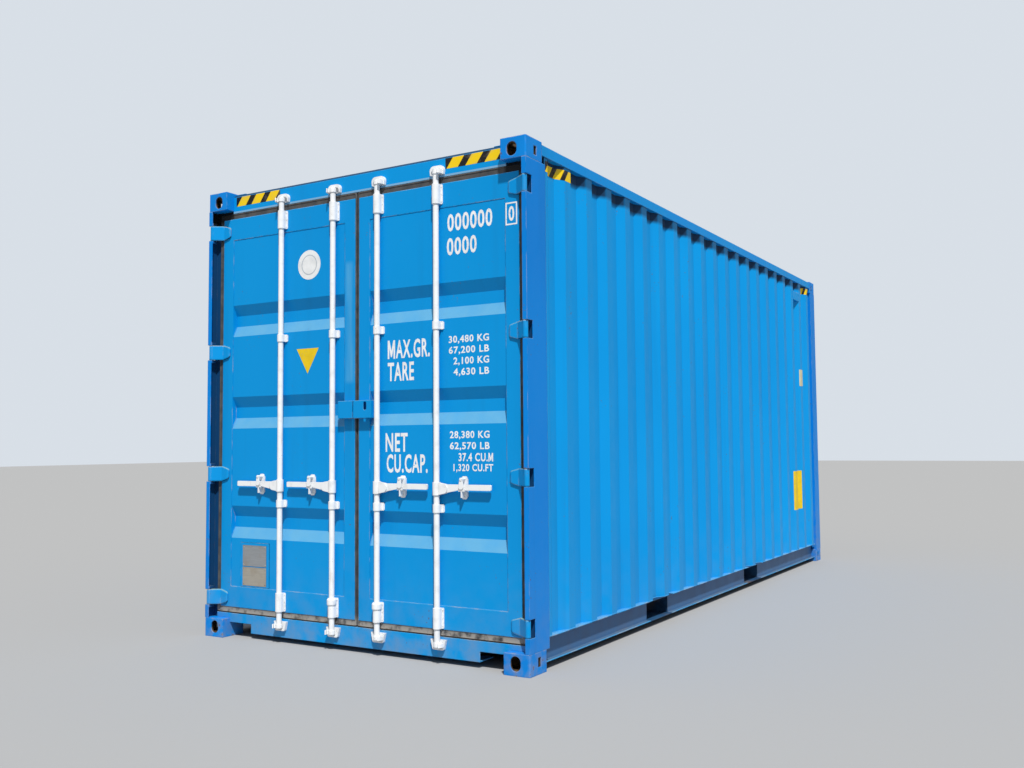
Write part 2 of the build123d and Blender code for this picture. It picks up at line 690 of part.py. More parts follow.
def keeper_outline(inset, end_wall, corner_r, cap_half_w, mouth_half_w, reach, skirt):
    """A keeper's outline as seen from the front, round at its closed end, with the cam's middle at 0.
    Set in by its walls it is the hollow, which runs on out of the open end."""
    closed = reach - end_wall
    outline = make_face(Polyline([
        (inset - cap_half_w, closed), (cap_half_w - inset, closed),
        (mouth_half_w - inset, -skirt - inset), (inset - mouth_half_w, -skirt - inset),
    ], close=True))
    return fillet(outline.vertices().group_by(Axis.Y)[-1], corner_r)


def keeper(x, z, toward, end_wall, *sizes):
    """A forged housing for a cam, on the header or the sill: a plate, a rim and a curved lip."""
    y = depth(BAR_DEPTH)
    inner = CAM_R + KEEPER_GAP
    outer = inner + KEEPER_WALL
    face = depth(END_FACE)
    wall = keeper_outline(0.0, 0.0, *sizes)
    hollow = keeper_outline(KEEPER_WALL, end_wall, *sizes)
    over = 90 if z > HEIGHT / 2 else -90
    seat = Pos(x, face, z) * Rot(over, 0, 0)
    out = 1 if z > HEIGHT / 2 else -1
    plate = seat * extrude(wall, out * KEEPER_PLATE)
    rim = seat * extrude(wall - hollow, out * (END_FACE - BAR_DEPTH - KEEPER_GUARD_SET))
    side = inner + KEEPER_WALL / 2
    horn = slab(x + toward * side - KEEPER_WALL / 2, x + toward * side + KEEPER_WALL / 2, y, face,
                z - CAM_H / 2, z + CAM_H / 2)
    lip = Pos(x, y, z) * (Cylinder(outer, CAM_H) - Cylinder(inner, CAM_H))
    reach = 2 * outer
    angle = radians(KEEPER_LIP_ANGLE)
    wedge = upright([(x, y), (x + toward * reach, y), (x + toward * reach, y - reach),
                     (x + toward * reach * cos(angle), y - reach * sin(angle))],
                    z - CAM_H, z + CAM_H)
    return fused([plate, rim, horn, lip & wedge])


def top_keeper(x, toward):
    """A keeper on the header: a round-shouldered cap over the end of the bar."""
    return keeper(x, TOP_CAM_Z, toward, TOP_KEEPER_CAP, TOP_KEEPER_ROUND, TOP_KEEPER_CAP_HALF_W,
                  TOP_KEEPER_MOUTH_HALF_W, TOP_KEEPER_REACH, TOP_KEEPER_SKIRT)


def low_keeper(x, toward):
    """A keeper on the sill: a cup that is wider at its mouth."""
    return keeper(x, BOTTOM_CAM_Z, toward, LOW_KEEPER_CAP, LOW_KEEPER_ROUND, LOW_KEEPER_CAP_HALF_W,
                  LOW_KEEPER_MOUTH_HALF_W, LOW_KEEPER_REACH, LOW_KEEPER_SKIRT)


def bearing(x, z, height, half_w, radius, shoulder=0.0):
    """A bracket bolted to the leaf that carries a lock bar in a rounded saddle, which may start in a
    thicker shoulder at its upper end."""
    y = depth(BAR_DEPTH)
    seat = depth(LEAF_FACE - BRACKET_PLATE)
    z0, z1 = z - height / 2, z + height / 2
    base = slab(x - half_w, x + half_w, seat, depth(LEAF_FACE), z0, z1)
    saddle = post(radius, x, y, z0, z1) + slab(x - radius, x + radius, y, seat, z0, z1)
    body = base + saddle
    if shoulder:
        ring = post(SHOULDER_R, x, y, z1 - shoulder, z1)
        ring = fillet(ring.edges().filter_by(GeomType.CIRCLE), SHOULDER_ROUND)
        body += ring - slab(x - 2 * SHOULDER_R, x + 2 * SHOULDER_R, seat, depth(2 * LEAF_FACE), z0, z1)
    return body - post(BAR_R + BEARING_CLEAR, x, y, z - height, z + height)


def lock_bar(x, toward):
    """A round bar with a cam at each end and an eared hub for its handle."""
    y = depth(BAR_DEPTH)
    end = CAM_H / 2 + BAR_STUB
    bar = post(BAR_R, x, y, BOTTOM_CAM_Z - end, TOP_CAM_Z + end)
    cams = []
    for z in (BOTTOM_CAM_Z, TOP_CAM_Z):
        hub = post(CAM_HUB_R, x, y, z - CAM_H / 2, z + CAM_H / 2)
        reach = 2 * CAM_R
        half = radians(CAM_HALF_ANGLE)
        wedge = upright([(x, y), (x + toward * reach * cos(half), y - reach * sin(half)),
                         (x + toward * reach * cos(half), y + reach * sin(half))],
                        z - CAM_H / 2, z + CAM_H / 2)
        lobe = post(CAM_R, x, y, z - CAM_H / 2, z + CAM_H / 2) & wedge
        cams.append(hub + lobe)
    pivot_x, pivot_z = x + toward * PIVOT_REACH, HANDLE_Z - PIVOT_DROP
    collar = post(COLLAR_R, x, y, pivot_z - COLLAR_H / 2, pivot_z + COLLAR_H / 2)
    root = Edge.make_line((-toward * PIVOT_REACH, -COLLAR_H / 2), (-toward * PIVOT_REACH, COLLAR_H / 2))
    outline = make_hull(Circle(EAR_R).edges() + [root])
    near = HANDLE_T / 2 + EAR_CLEAR
    ears = [Pos(pivot_x, y + place, pivot_z) * Rot(90, 0, 0) * extrude(outline, EAR_T)
            for place in (-near, near + EAR_T)]
    grip = near + EAR_T
    pivot = across(PIVOT_R, pivot_x, y - grip, y + grip, pivot_z)
    return fused([bar, collar, pivot] + cams + ears)


def handle(x, toward):
    """A flat forged lever: an eye on the hub's pivot, a root that tapers and a level grip."""
    pivot_x = x + toward * PIVOT_REACH
    start = toward * (PIVOT_REACH + HANDLE_TAPER)
    tip = toward * (HANDLE_REACH - GRIP_HALF_H)
    eye = Pos(toward * PIVOT_REACH, -PIVOT_DROP) * Circle(EYE_R)
    shoulder = Edge.make_line((start, -GRIP_HALF_H), (start, GRIP_HALF_H))
    outline = make_hull(eye.edges() + [shoulder])
    outline += Pos((start + tip) / 2, 0) * Rectangle(abs(tip - start), 2 * GRIP_HALF_H)
    end = Rectangle(2 * GRIP_HALF_H, 2 * GRIP_HALF_H)
    outline += Pos(tip, 0) * fillet(end.vertices(), GRIP_ROUND)
    lever = Pos(x, depth(BAR_DEPTH), HANDLE_Z) * Rot(90, 0, 0) * extrude(outline, HANDLE_T / 2, both=True)
    return lever - across(PIVOT_R + PIN_CLEAR, pivot_x, depth(0), depth(LEAF_FACE), HANDLE_Z - PIVOT_DROP)


def hasp_place():
    """How deep the hasp's back lies: just in front of the handle."""
    return BAR_DEPTH - HANDLE_T / 2 - HASP_PAST_HANDLE


def catch(x, toward):
    """The bracket that holds a handle: a plate, a shelf with a low lip and the hasp's boss."""
    middle = x + toward * CATCH_REACH
    face = depth(LEAF_FACE)
    x0, x1 = middle - CATCH_W / 2, middle + CATCH_W / 2
    plate = slab(x0, x1, face - BRACKET_PLATE, face, HANDLE_Z - CATCH_FOOT, HANDLE_Z + CATCH_TOP)
    plate = fillet(plate.edges().filter_by(Axis.Y), CATCH_ROUND)
    top = HANDLE_Z - GRIP_HALF_H - SHELF_CLEAR
    shelf = slab(x0, x1, face - SHELF_OUT, face - BRACKET_PLATE, top - SHELF_T, top)
    front = face - SHELF_OUT
    lip = slab(x0, x1, front, front + LIP_T, top - SHELF_T, top + LIP_H)
    web = slab(middle - CATCH_WEB / 2, middle + CATCH_WEB / 2, front, face - BRACKET_PLATE,
               HANDLE_Z - CATCH_FOOT + LIP_H, top - SHELF_T)
    boss_z = HANDLE_Z + HASP_PIVOT_UP
    back = hasp_place()
    head = depth(back - HASP_T - PIN_CLEAR)
    boss = across(BOSS_R, middle, depth(back), face - BRACKET_PLATE, boss_z)
    pin = across(HASP_PIN_R, middle, head, depth(back), boss_z)
    rivet = across(BOSS_R, middle, head - HASP_HEAD_T, head, boss_z)
    return fused([plate, shelf, lip, web, boss, pin, rivet])


def hasp(x, toward):
    """A flap that hangs from the catch's boss over the front of the handle."""
    middle = x + toward * CATCH_REACH
    boss_z = HANDLE_Z + HASP_PIVOT_UP
    y0, y1 = depth(hasp_place() - HASP_T), depth(hasp_place() - PIN_CLEAR)
    flap = lengthwise([
        (middle - HASP_R, boss_z), (middle + HASP_R, boss_z),
        (middle + HASP_END_W / 2, boss_z - HASP_LENGTH + HASP_R), (middle + HASP_R, boss_z - HASP_LENGTH),
        (middle - HASP_R, boss_z - HASP_LENGTH), (middle - HASP_END_W / 2, boss_z - HASP_LENGTH + HASP_R),
    ], y0, y1)
    flap += across(HASP_R, middle, y0, y1, boss_z)
    return flap - across(HASP_PIN_R + PIN_CLEAR, middle, y0 - 1, y1 + 1, boss_z)


def leaf_frame():
    """The right-hand leaf's frame: two box stiles and two box members, welded."""
    y0, y1 = depth(LEAF_FACE), depth(LEAF_FACE + LEAF_T)
    outer = slab(LEAF_MEET, LEAF_EDGE, y0, y1, LEAF_BOTTOM, LEAF_TOP)
    inner0, inner1 = LEAF_MEET + MEET_STILE, LEAF_EDGE - HINGE_STILE
    low, high = LEAF_BOTTOM + BOTTOM_MEMBER, LEAF_TOP - TOP_MEMBER
    outer -= slab(inner0, inner1, y0 - 1, y1 + 1, low, high)
    t = FRAME_T
    hollows = [
        slab(LEAF_MEET + t, inner0 - t, y0 + t, y1 - t, LEAF_BOTTOM + t, LEAF_TOP - t),
        slab(inner1 + t, LEAF_EDGE - t, y0 + t, y1 - t, LEAF_BOTTOM + t, LEAF_TOP - t),
        slab(inner0 + t, inner1 - t, y0 + t, y1 - t, LEAF_BOTTOM + t, low - t),
        slab(inner0 + t, inner1 - t, y0 + t, y1 - t, high + t, LEAF_TOP - t),
    ]
    return outer - hollows


def leaf_panel():
    """The right-hand leaf's sheet, pressed with three level troughs."""
    inner0, inner1 = LEAF_MEET + MEET_STILE, LEAF_EDGE - HINGE_STILE
    low, high = LEAF_BOTTOM + BOTTOM_MEMBER, LEAF_TOP - TOP_MEMBER
    half = TROUGH_ROOT / 2
    first, last = low + LOW_TROUGH_RISE, high - HIGH_TROUGH_DROP
    line = [(PANEL_SET, low)]
    for z in (first, first + MIDDLE_TROUGH_SHARE * (last - first), last):
        line += [(PANEL_SET, z - half - TROUGH_SLOPE), (TROUGH_DEPTH, z - half),
                 (TROUGH_DEPTH, z + half), (PANEL_SET, z + half + TROUGH_SLOPE)]
    line.append((PANEL_SET, high))
    outer = [(depth(LEAF_FACE) + sink, z) for sink, z in line]
    inner = [(y + SHEET_T, z) for y, z in reversed(outer)]
    return crosswise(outer + inner, inner0, inner1)


def leaf_seal():
    """The rubber seal round the right-hand leaf: a back strip with a wider lip at its front."""
    near, far = depth(LEAF_FACE + SEAL_PAST_LEAF), depth(LEAF_FACE + SEAL_PAST_LEAF + SEAL_W)
    rings = []
    for y0, y1, inset in ((near, near + SEAL_LIP, 0.0), (near + SEAL_LIP, far - SEAL_LIP, SEAL_LIP),
                          (far - SEAL_LIP, far, 0.0)):
        clear = SEAL_CLEAR + inset
        rings.append(slab(SEAL_MEET, OPENING_HALF - clear, y0, y1, SILL_TOP + clear, HEADER_BOTTOM - clear))
    return fused(rings) - slab(LEAF_MEET, LEAF_EDGE, near, far, LEAF_BOTTOM, LEAF_TOP)


def hinge_blades():
    """Four forged blades on the right-hand leaf, each with a narrow nose and a knuckle round its pin."""
    pin_x, pin_y = hinge_place()
    lap = LEAF_EDGE - BLADE_LAP
    root = LEAF_EDGE - BLADE_T
    face = LEAF_FACE
    outline = [
        (lap, depth(face)), (lap, depth(face - BLADE_T / 2)), (lap + BLADE_T, depth(face - BLADE_T)),
        (root, depth(face - BLADE_T)),
        (pin_x - KNUCKLE_R / 2, pin_y - NECK_FRONT), (pin_x + NECK_PAST_PIN, pin_y + NECK_BACK),
        (LEAF_EDGE + BLADE_T, depth(face)), (LEAF_EDGE, depth(face)),
    ]
    front = make_face(Polyline([
        (lap, -BLADE_NOSE_H / 2), (root, -BLADE_H / 2), (HALF_W, -BLADE_H / 2),
        (HALF_W, BLADE_H / 2), (root, BLADE_H / 2), (lap, BLADE_NOSE_H / 2),
    ], close=True))
    front = fillet(front.vertices().group_by(Axis.X)[0], BLADE_ROUND)
    blades = []
    for z in hinge_heights():
        z0, z1 = z - BLADE_H / 2, z + BLADE_H / 2
        taper = Pos(0, depth(2 * face), z) * Rot(90, 0, 0) * extrude(front, 2 * face)
        blade = (upright(outline, z0, z1) & taper) + post(KNUCKLE_R, pin_x, pin_y, z0, z1)
        blades.append(blade - post(PIN_R + PIN_CLEAR, pin_x, pin_y, z0 - 1, z1 + 1))
    return blades


def leaf_brackets(places, toward):
    """The bearings, guides and handle catches on one leaf."""
    pieces = []
    for x in places:
        top = LEAF_TOP - BLOCK_INSET - BLOCK_H / 2
        bottom = LEAF_BOTTOM + BLOCK_INSET + BLOCK_H / 2
        shoulder = SHOULDER_H if abs(x) == BAR_PLACES["inner"] else 0.0
        pieces.append(bearing(x, bottom, BLOCK_H, BLOCK_HALF_W, BLOCK_R, shoulder))
        pieces.append(bearing(x, top, BLOCK_H, BLOCK_HALF_W, BLOCK_R))
        pieces += [bearing(x, z, GUIDE_H, GUIDE_HALF_W, GUIDE_R) for z in GUIDE_HEIGHTS]
        pieces.append(catch(x, toward))
    return pieces


def lock_box(side, reach):
    """One half of the hood that shields the padlock: a front, a top and an outer cheek. The right
    half has a slot in its front."""
    x0, x1 = sorted((side * LOCK_BOX_GAP, side * reach))
    y0, y1 = depth(LEAF_FACE - LOCK_BOX_OUT), depth(LEAF_FACE)
    z0, z1 = LOCK_BOX_BOTTOM, LOCK_BOX_BOTTOM + LOCK_BOX_H
    hood = slab(x0, x1, y0, y1, z0, z1)
    t = LOCK_BOX_T
    inner = sorted((side * (LOCK_BOX_GAP - 1), side * (reach - t)))
    hood -= slab(*inner, y0 + t, y1 + 1, z0 - 1, z1 - t)
    slot = extrude(SlotOverall(LOCK_BOX_SLOT_H, LOCK_BOX_SLOT_W, rotation=90), t, both=True)
    return hood - Pos(LOCK_BOX_SLOT_X, y0, z1 - LOCK_BOX_SLOT_DROP) * Rot(90, 0, 0) * slot


def whole_troughs():
    """How many whole troughs a side wall has."""
    run = 2 * HALF_L - DOOR_POST_SIDE - FRONT_POST_SIDE - SIDE_FIRST_CREST + SIDE_CREST
    return floor(run / SIDE_PITCH)


def ventilator(place):
    """A hood that fills one trough of the right-hand wall near the roof, counted from the doors."""
    start = depth(DOOR_POST_SIDE) + SIDE_FIRST_CREST + place * SIDE_PITCH
    end = start + SIDE_PITCH - SIDE_CREST
    root = SIDE_FACE - SIDE_DEPTH
    front = SIDE_FACE + VENT_PROUD
    z = HEIGHT - VENT_DROP
    return upright([
        (SIDE_FACE, start), (root, start + SIDE_SLOPE), (root, end - SIDE_SLOPE), (SIDE_FACE, end),
        (front, end), (front, start),
    ], z - VENT_H / 2, z + VENT_H / 2)


os.makedirs("parts", exist_ok=True)

for end_name, end in (("door_end", -1), ("front_end", 1)):
    for level, top in (("top", True), ("bottom", False)):
        write(f"{end_name}_{level}_castings", [corner_casting(side, end, top) for side in (-1, 1)])

for name, pieces in (("door_post", [door_post()]), ("front_post", [front_post()]),
                     ("side_wall", [side_wall()]), ("bottom_side_rail", base_side_rail())):
    write("right_" + name, pieces)
    write("left_" + name, [mirrored(piece) for piece in pieces])

write("hinge_pins", hinge_pins() + [mirrored(pin) for pin in hinge_pins()])
write("top_side_rails", [top_side_rail(), mirrored(top_side_rail())])
write("front_wall", [front_wall()])
write("front_end_rails", front_rails())
write("roof_sheet", [roof()])
write("roof_corner_plates", roof_plates())
write("door_header", [header()])
write("door_sill", [sill()])
write("floor_boards", floor_boards())
write("floor_centre_strip", [floor_strip()])
write("cross_members", cross_members())
write("fork_pockets", [piece for y in pocket_places() for piece in fork_pocket(y)])
write("ventilators", [ventilator(whole_troughs() - 2), mirrored(ventilator(1))])

keepers = []
for hand, toward in (("left", -1), ("right", 1)):
    for place, reach in BAR_PLACES.items():
        x = toward * reach
        keepers += [low_keeper(x, toward), top_keeper(x, toward)]
        write(f"{hand}_{place}_lock_bar", [lock_bar(x, toward)])
        write(f"{hand}_{place}_handle", [handle(x, toward)])
        write(f"{hand}_{place}_hasp", [hasp(x, toward)])
    places = [toward * reach for reach in BAR_PLACES.values()]
    write(f"{hand}_door_brackets", leaf_brackets(places, toward))
    box_reach = LOCK_BOX_RIGHT if toward > 0 else LOCK_BOX_LEFT
    write(f"{hand}_lock_box", [lock_box(toward, box_reach)])
write("lock_keepers", keepers)

for name, pieces in (("door_frame", [leaf_frame()]), ("door_panel", [leaf_panel()]),
                     ("door_seal", [leaf_seal()]), ("door_hinges", hinge_blades())):
    write("right_" + name, pieces)
    write("left_" + name, [mirrored(piece) for piece in pieces])
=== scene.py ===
import math

import bmesh
import bpy
from mathutils import Matrix, Vector


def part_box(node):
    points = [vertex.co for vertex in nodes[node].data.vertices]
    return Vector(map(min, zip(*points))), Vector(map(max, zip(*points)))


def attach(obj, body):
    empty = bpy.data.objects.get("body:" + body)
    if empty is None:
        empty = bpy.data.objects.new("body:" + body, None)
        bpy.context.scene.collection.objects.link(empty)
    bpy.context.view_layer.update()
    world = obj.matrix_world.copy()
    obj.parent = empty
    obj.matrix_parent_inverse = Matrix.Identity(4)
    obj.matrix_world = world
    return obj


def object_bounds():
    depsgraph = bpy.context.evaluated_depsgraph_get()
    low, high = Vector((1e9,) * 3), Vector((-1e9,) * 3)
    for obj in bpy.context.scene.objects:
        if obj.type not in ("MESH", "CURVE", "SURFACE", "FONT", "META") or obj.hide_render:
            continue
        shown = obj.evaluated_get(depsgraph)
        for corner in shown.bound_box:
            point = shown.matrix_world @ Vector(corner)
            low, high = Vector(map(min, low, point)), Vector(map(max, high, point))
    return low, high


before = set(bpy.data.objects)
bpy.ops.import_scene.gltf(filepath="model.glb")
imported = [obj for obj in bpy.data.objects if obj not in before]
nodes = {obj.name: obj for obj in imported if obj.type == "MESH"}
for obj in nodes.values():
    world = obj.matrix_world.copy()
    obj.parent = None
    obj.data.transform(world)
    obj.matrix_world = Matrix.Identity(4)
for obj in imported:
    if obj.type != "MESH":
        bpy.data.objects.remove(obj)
cad_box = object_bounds()


# Walls and roof
# Pressed sheets of weathering steel, about 2 mm thick, welded edge to edge into one wall. They are
# sprayed with primer and a satin marine enamel, which carries an orange-peel grain. Sun fades it in
# patches, rain draws streaks down it, and road dust and small rust chips gather low down.
def add(tree, kind, inputs=(), **settings):
    """One node of a material or geometry tree, with its settings and its inputs."""
    made = tree.nodes.new(kind)
    for key, value in settings.items():
        setattr(made, key, value)
    for key, value in dict(inputs).items():
        if isinstance(value, bpy.types.NodeSocket):
            tree.links.new(value, made.inputs[key])
        else:
            made.inputs[key].default_value = value
    return made


def start_material(name, colour, roughness, metallic=0.0, reflection=0.5):
    """A new material with its even values on the shader, its tree, and the place it is read at."""
    material = bpy.data.materials.new(name)
    material.use_nodes = True
    material.diffuse_color = (*colour, 1.0)
    tree = material.node_tree
    shader = tree.nodes["Principled BSDF"]
    shader.inputs["Base Color"].default_value = (*colour, 1.0)
    shader.inputs["Roughness"].default_value = roughness
    shader.inputs["Metallic"].default_value = metallic
    shader.inputs["Specular IOR Level"].default_value = reflection
    return material, tree, add(tree, "ShaderNodeTexCoord").outputs["Object"]


def end_material(material, tint, roughness=None, normal=None):
    """The material with the colour, roughness and normal that its tree works out."""
    tree = material.node_tree
    shader = tree.nodes["Principled BSDF"]
    for name, value in (("Base Color", tint), ("Roughness", roughness), ("Normal", normal)):
        if value:
            tree.links.new(value, shader.inputs[name])
    return material


def grain(tree, place, size, detail=2.0, stretch=None):
    """Noise whose features are about size metres across, or stretched by a share on each axis."""
    if stretch:
        place = add(tree, "ShaderNodeMapping", {"Vector": place, "Scale": stretch}).outputs[0]
    return add(tree, "ShaderNodeTexNoise", {"Vector": place, "Scale": 1 / size, "Detail": detail}).outputs[0]


def share(tree, value, low, high, most=1.0, least=0.0):
    """A value read as a share: least at low, most at high."""
    return add(tree, "ShaderNodeMapRange", {"Value": value, "From Min": low, "From Max": high,
                                            "To Min": least, "To Max": most}).outputs[0]


def times(tree, first, second):
    """Two shares multiplied."""
    return add(tree, "ShaderNodeMath", {0: first, 1: second}, operation="MULTIPLY").outputs[0]


def lay_over(tree, amount, under, over):
    """One colour laid over another by a share."""
    under, over = ((*c, 1.0) if isinstance(c, tuple) else c for c in (under, over))
    return add(tree, "ShaderNodeMix", {0: amount, 6: under, 7: over}, data_type="RGBA").outputs[2]


def raise_surface(tree, height, distance, under=None):
    """A bump of that many metres, over another one if given."""
    inputs = {"Height": height, "Distance": distance}
    if under:
        inputs["Normal"] = under
    return add(tree, "ShaderNodeBump", inputs).outputs[0]


def rounded_edges(tree, reach):
    """The surface's normal with its sharp edges rounded over that reach, as rolled and cast edges are."""
    return add(tree, "ShaderNodeBevel", {"Radius": reach}, samples=4).outputs[0]


def worn_edges(tree, rounded):
    """A share that is high on sharp edges, where a rounded normal leaves the face's own."""
    own = add(tree, "ShaderNodeNewGeometry").outputs["True Normal"]
    alike = add(tree, "ShaderNodeVectorMath", {0: rounded, 1: own}, operation="DOT_PRODUCT").outputs["Value"]
    return share(tree, alike, 0.985, 0.86)


RUST, ROAD_DUST = (0.13, 0.045, 0.02), (0.33, 0.27, 0.20)
PRIMER, LEDGE_DUST_AND_HIGHLIGHT = (0.46, 0.44, 0.41), (0.30, 0.50, 0.44)


def enamel(name, colour, faded, dust=0.35, chips=0.7, dents=0.004, roughness=0.42, streaks=0.3, rubbed=0.0,
           ledges=0.3, under=0.0, edge_reach=0.006):
    """Satin enamel on steel: faded and streaked, dusty low down, chipped, rubbed on its edges, pale with dust
    on its ledges (set high, this is a painted highlight), and with painted shade on the faces that look down."""
    material, tree, place = start_material(name, colour, roughness, reflection=0.14)
    patches = grain(tree, place, 1.3, 3.0)
    runs = grain(tree, place, 1.0, 4.0, stretch=(13.0, 13.0, 0.6))
    tint = lay_over(tree, share(tree, patches, 0.38, 0.72, 0.75), colour, faded)
    dirty = tuple(0.70 * c + 0.006 for c in colour)
    tint = lay_over(tree, share(tree, runs, 0.55, 0.78, streaks), tint, dirty)
    height = add(tree, "ShaderNodeSeparateXYZ", {"Vector": place}).outputs["Z"]
    film = grain(tree, place, 0.11, 5.0)
    low = times(tree, share(tree, height, 0.62, 0.02), share(tree, film, 0.36, 0.66, dust))
    tint = lay_over(tree, low, tint, ROAD_DUST)
    rounded = rounded_edges(tree, edge_reach) if rubbed else None
    outward = rounded or add(tree, "ShaderNodeNewGeometry").outputs["Normal"]
    upward = add(tree, "ShaderNodeSeparateXYZ", {"Vector": outward}).outputs["Z"]
    # Pale dust on the ledges, which becomes a painted highlight on top edges where its share is set high.
    ledge = times(tree, share(tree, upward, 0.22, 0.42, ledges), share(tree, film, 0.2, 0.6, 1.0, 0.7))
    tint = lay_over(tree, ledge, tint, LEDGE_DUST_AND_HIGHLIGHT)
    # Painted shade: the faces that look down are darkened towards a deep shade of the paint.
    if under:
        tint = lay_over(tree, share(tree, upward, -0.12, -0.45, under), tint, tuple(0.08 * c for c in colour))
    spots = grain(tree, place, 0.014, 3.0)
    where = grain(tree, place, 0.33, 2.0)
    chipped = times(tree, share(tree, spots, 0.685, 0.705), share(tree, where, 0.55, 0.62, chips))
    tint = lay_over(tree, chipped, tint, RUST)
    if rubbed:
        edges = times(tree, worn_edges(tree, rounded), share(tree, film, 0.46, 0.62, rubbed))
        tint = lay_over(tree, edges, tint, PRIMER)
    dull = share(tree, film, 0.3, 0.7, roughness + 0.1, roughness - 0.05)
    normal = raise_surface(tree, grain(tree, place, 0.42, 1.0), dents, rounded) if dents else rounded
    normal = raise_surface(tree, grain(tree, place, 0.0045, 1.0), 0.00018, normal)
    return end_material(material, tint, dull, normal)


def dress(material, *names):
    """Puts a finish on CAD nodes."""
    for name in names:
        mesh = nodes[name].data
        mesh.materials.clear()
        mesh.materials.append(material)


WALL_BLUE = (0.0006, 0.275, 0.680)
WALL_FADED = (0.0012, 0.310, 0.735)
wall_paint = enamel("wall_enamel", WALL_BLUE, WALL_FADED, dust=0.08)
dress(wall_paint, "right_side_wall", "left_side_wall", "front_wall", "roof_sheet", "roof_corner_plates")


# Corner posts and rails
# The posts are folded from 6 mm plate and the top rails are square tubes, both welded to the castings.
# The same enamel goes on over thicker steel, so it lies flat, and it reads a shade deeper.
FRAME_BLUE = (0.0006, 0.205, 0.660)
FRAME_FADED = (0.0012, 0.240, 0.720)
frame_paint = enamel("frame_enamel", FRAME_BLUE, FRAME_FADED, dust=0.3, chips=1.0, dents=0.0012, rubbed=0.5)
dress(frame_paint, "right_front_post", "left_front_post", "front_end_rails")
rail_paint = enamel("rail_enamel", WALL_BLUE, FRAME_FADED, dust=0.2, chips=0.9, dents=0.001, rubbed=0.4)
dress(rail_paint, "top_side_rails")


# Corner castings
# Cast steel blocks at the eight corners, with slots for twist locks and lashing hooks. The skin keeps the
# grain of its sand mould. Hooks and locks rub the edges bare; the hollow inside is rust and painted shade.
END, SIDE, MIDDLE = cad_box[1][0], cad_box[1][1], cad_box[1][2] / 2
CASTING_BACK, CASTING_INNER, CASTING_FOOT, SKIN = END - 0.178, SIDE - 0.162, 0.118, 0.004


def cast_steel(name, colour, faded):
    """Paint over a sand-cast skin, rubbed pale on its edges, rusty within and darkened there as painted
    shade.
    """
    material, tree, place = start_material(name, colour, 0.5, reflection=0.18)
    tint = lay_over(tree, share(tree, grain(tree, place, 0.3, 3.0), 0.4, 0.7), colour, faded)
    rubbed = grain(tree, place, 0.055, 6.0)
    height = add(tree, "ShaderNodeSeparateXYZ", {"Vector": place}).outputs["Z"]
    low = share(tree, height, 0.16, 0.0, 0.07)
    limit = add(tree, "ShaderNodeMath", {0: rubbed, 1: low}, operation="ADD").outputs[0]
    worn = share(tree, limit, 0.665, 0.71, 0.85)
    tint = lay_over(tree, worn, tint, (0.105, 0.05, 0.03))
    tint = lay_over(tree, times(tree, share(tree, height, 0.3, 0.0), share(tree, rubbed, 0.4, 0.6, 0.3)),
                    tint, ROAD_DUST)
    rounded = rounded_edges(tree, 0.008)
    edges = times(tree, worn_edges(tree, rounded), share(tree, rubbed, 0.42, 0.60, 0.7))
    tint = lay_over(tree, edges, tint, PRIMER)
    apart = add(tree, "ShaderNodeSeparateXYZ", {"Vector": place})
    within = None
    hollows = {"X": (CASTING_BACK + SKIN, END - SKIN), "Y": (CASTING_INNER + SKIN, SIDE - SKIN),
               "Z": (MIDDLE - CASTING_FOOT + SKIN, MIDDLE - SKIN)}
    for axis, (least, most) in hollows.items():
        value = apart.outputs[axis]
        if axis == "Z":
            value = add(tree, "ShaderNodeMath", {0: value, 1: MIDDLE}, operation="SUBTRACT").outputs[0]
        value = add(tree, "ShaderNodeMath", {0: value}, operation="ABSOLUTE").outputs[0]
        inside = times(tree, share(tree, value, least, least + 0.001), share(tree, value, most, most - 0.001))
        within = times(tree, within, inside) if within else inside
    # Painted shade: the hollow goes near black, with patches of rust.
    hollow = lay_over(tree, share(tree, rubbed, 0.4, 0.62), (0.030, 0.026, 0.024), (0.17, 0.105, 0.05))
    tint = lay_over(tree, within, tint, hollow)
    dull = share(tree, worn, 0.0, 1.0, 0.8, 0.45)
    normal = raise_surface(tree, grain(tree, place, 0.007, 4.0), 0.0006, rounded)
    return end_material(material, tint, dull, raise_surface(tree, worn, -0.0004, normal))


cast_paint = cast_steel("casting_enamel", FRAME_BLUE, FRAME_FADED)
dress(cast_paint, "door_end_top_castings", "door_end_bottom_castings",
      "front_end_top_castings", "front_end_bottom_castings")


# Door header, sill and base rails
# Pressed plate beams between the castings. Those at the bottom take scrapes and dirt from lift trucks, wheels
# and wet ground, so their paint is dustier and more chipped than on the walls.
beam_paint = enamel("beam_enamel", WALL_BLUE, WALL_FADED, dust=0.34, chips=1.0, dents=0.0015, rubbed=0.85)
dress(beam_paint, "door_sill", "ventilators")
base_rail_paint = enamel("base_rail_enamel", WALL_BLUE, WALL_FADED, dust=0.25, chips=1.0, dents=0.0015,
                         rubbed=0.9)
dress(base_rail_paint, "right_bottom_side_rail", "left_bottom_side_rail")


# The header's ends behind the castings, the posts' recesses behind the hinges and the tops of the wall
# troughs are painted dark as painted shade. The header is painted dark along its top edge and has a painted
# highlight along its bottom edge, and road film and painted shade darken the webs and flanges of the base
# rails.
def between(tree, place, low, high, soft=0.001, both=True):
    """A share that is high between two corners, alike on both sides of the container or on one."""
    apart = add(tree, "ShaderNodeSeparateXYZ", {"Vector": place})
    within = None
    for axis, least, most in zip("XYZ", low, high):
        value = apart.outputs[axis]
        if axis == "Y" and both:
            value = add(tree, "ShaderNodeMath", {0: value}, operation="ABSOLUTE").outputs[0]
        inside = times(tree, share(tree, value, least - soft, least), share(tree, value, most + soft, most))
        within = times(tree, within, inside) if within else inside
    return within


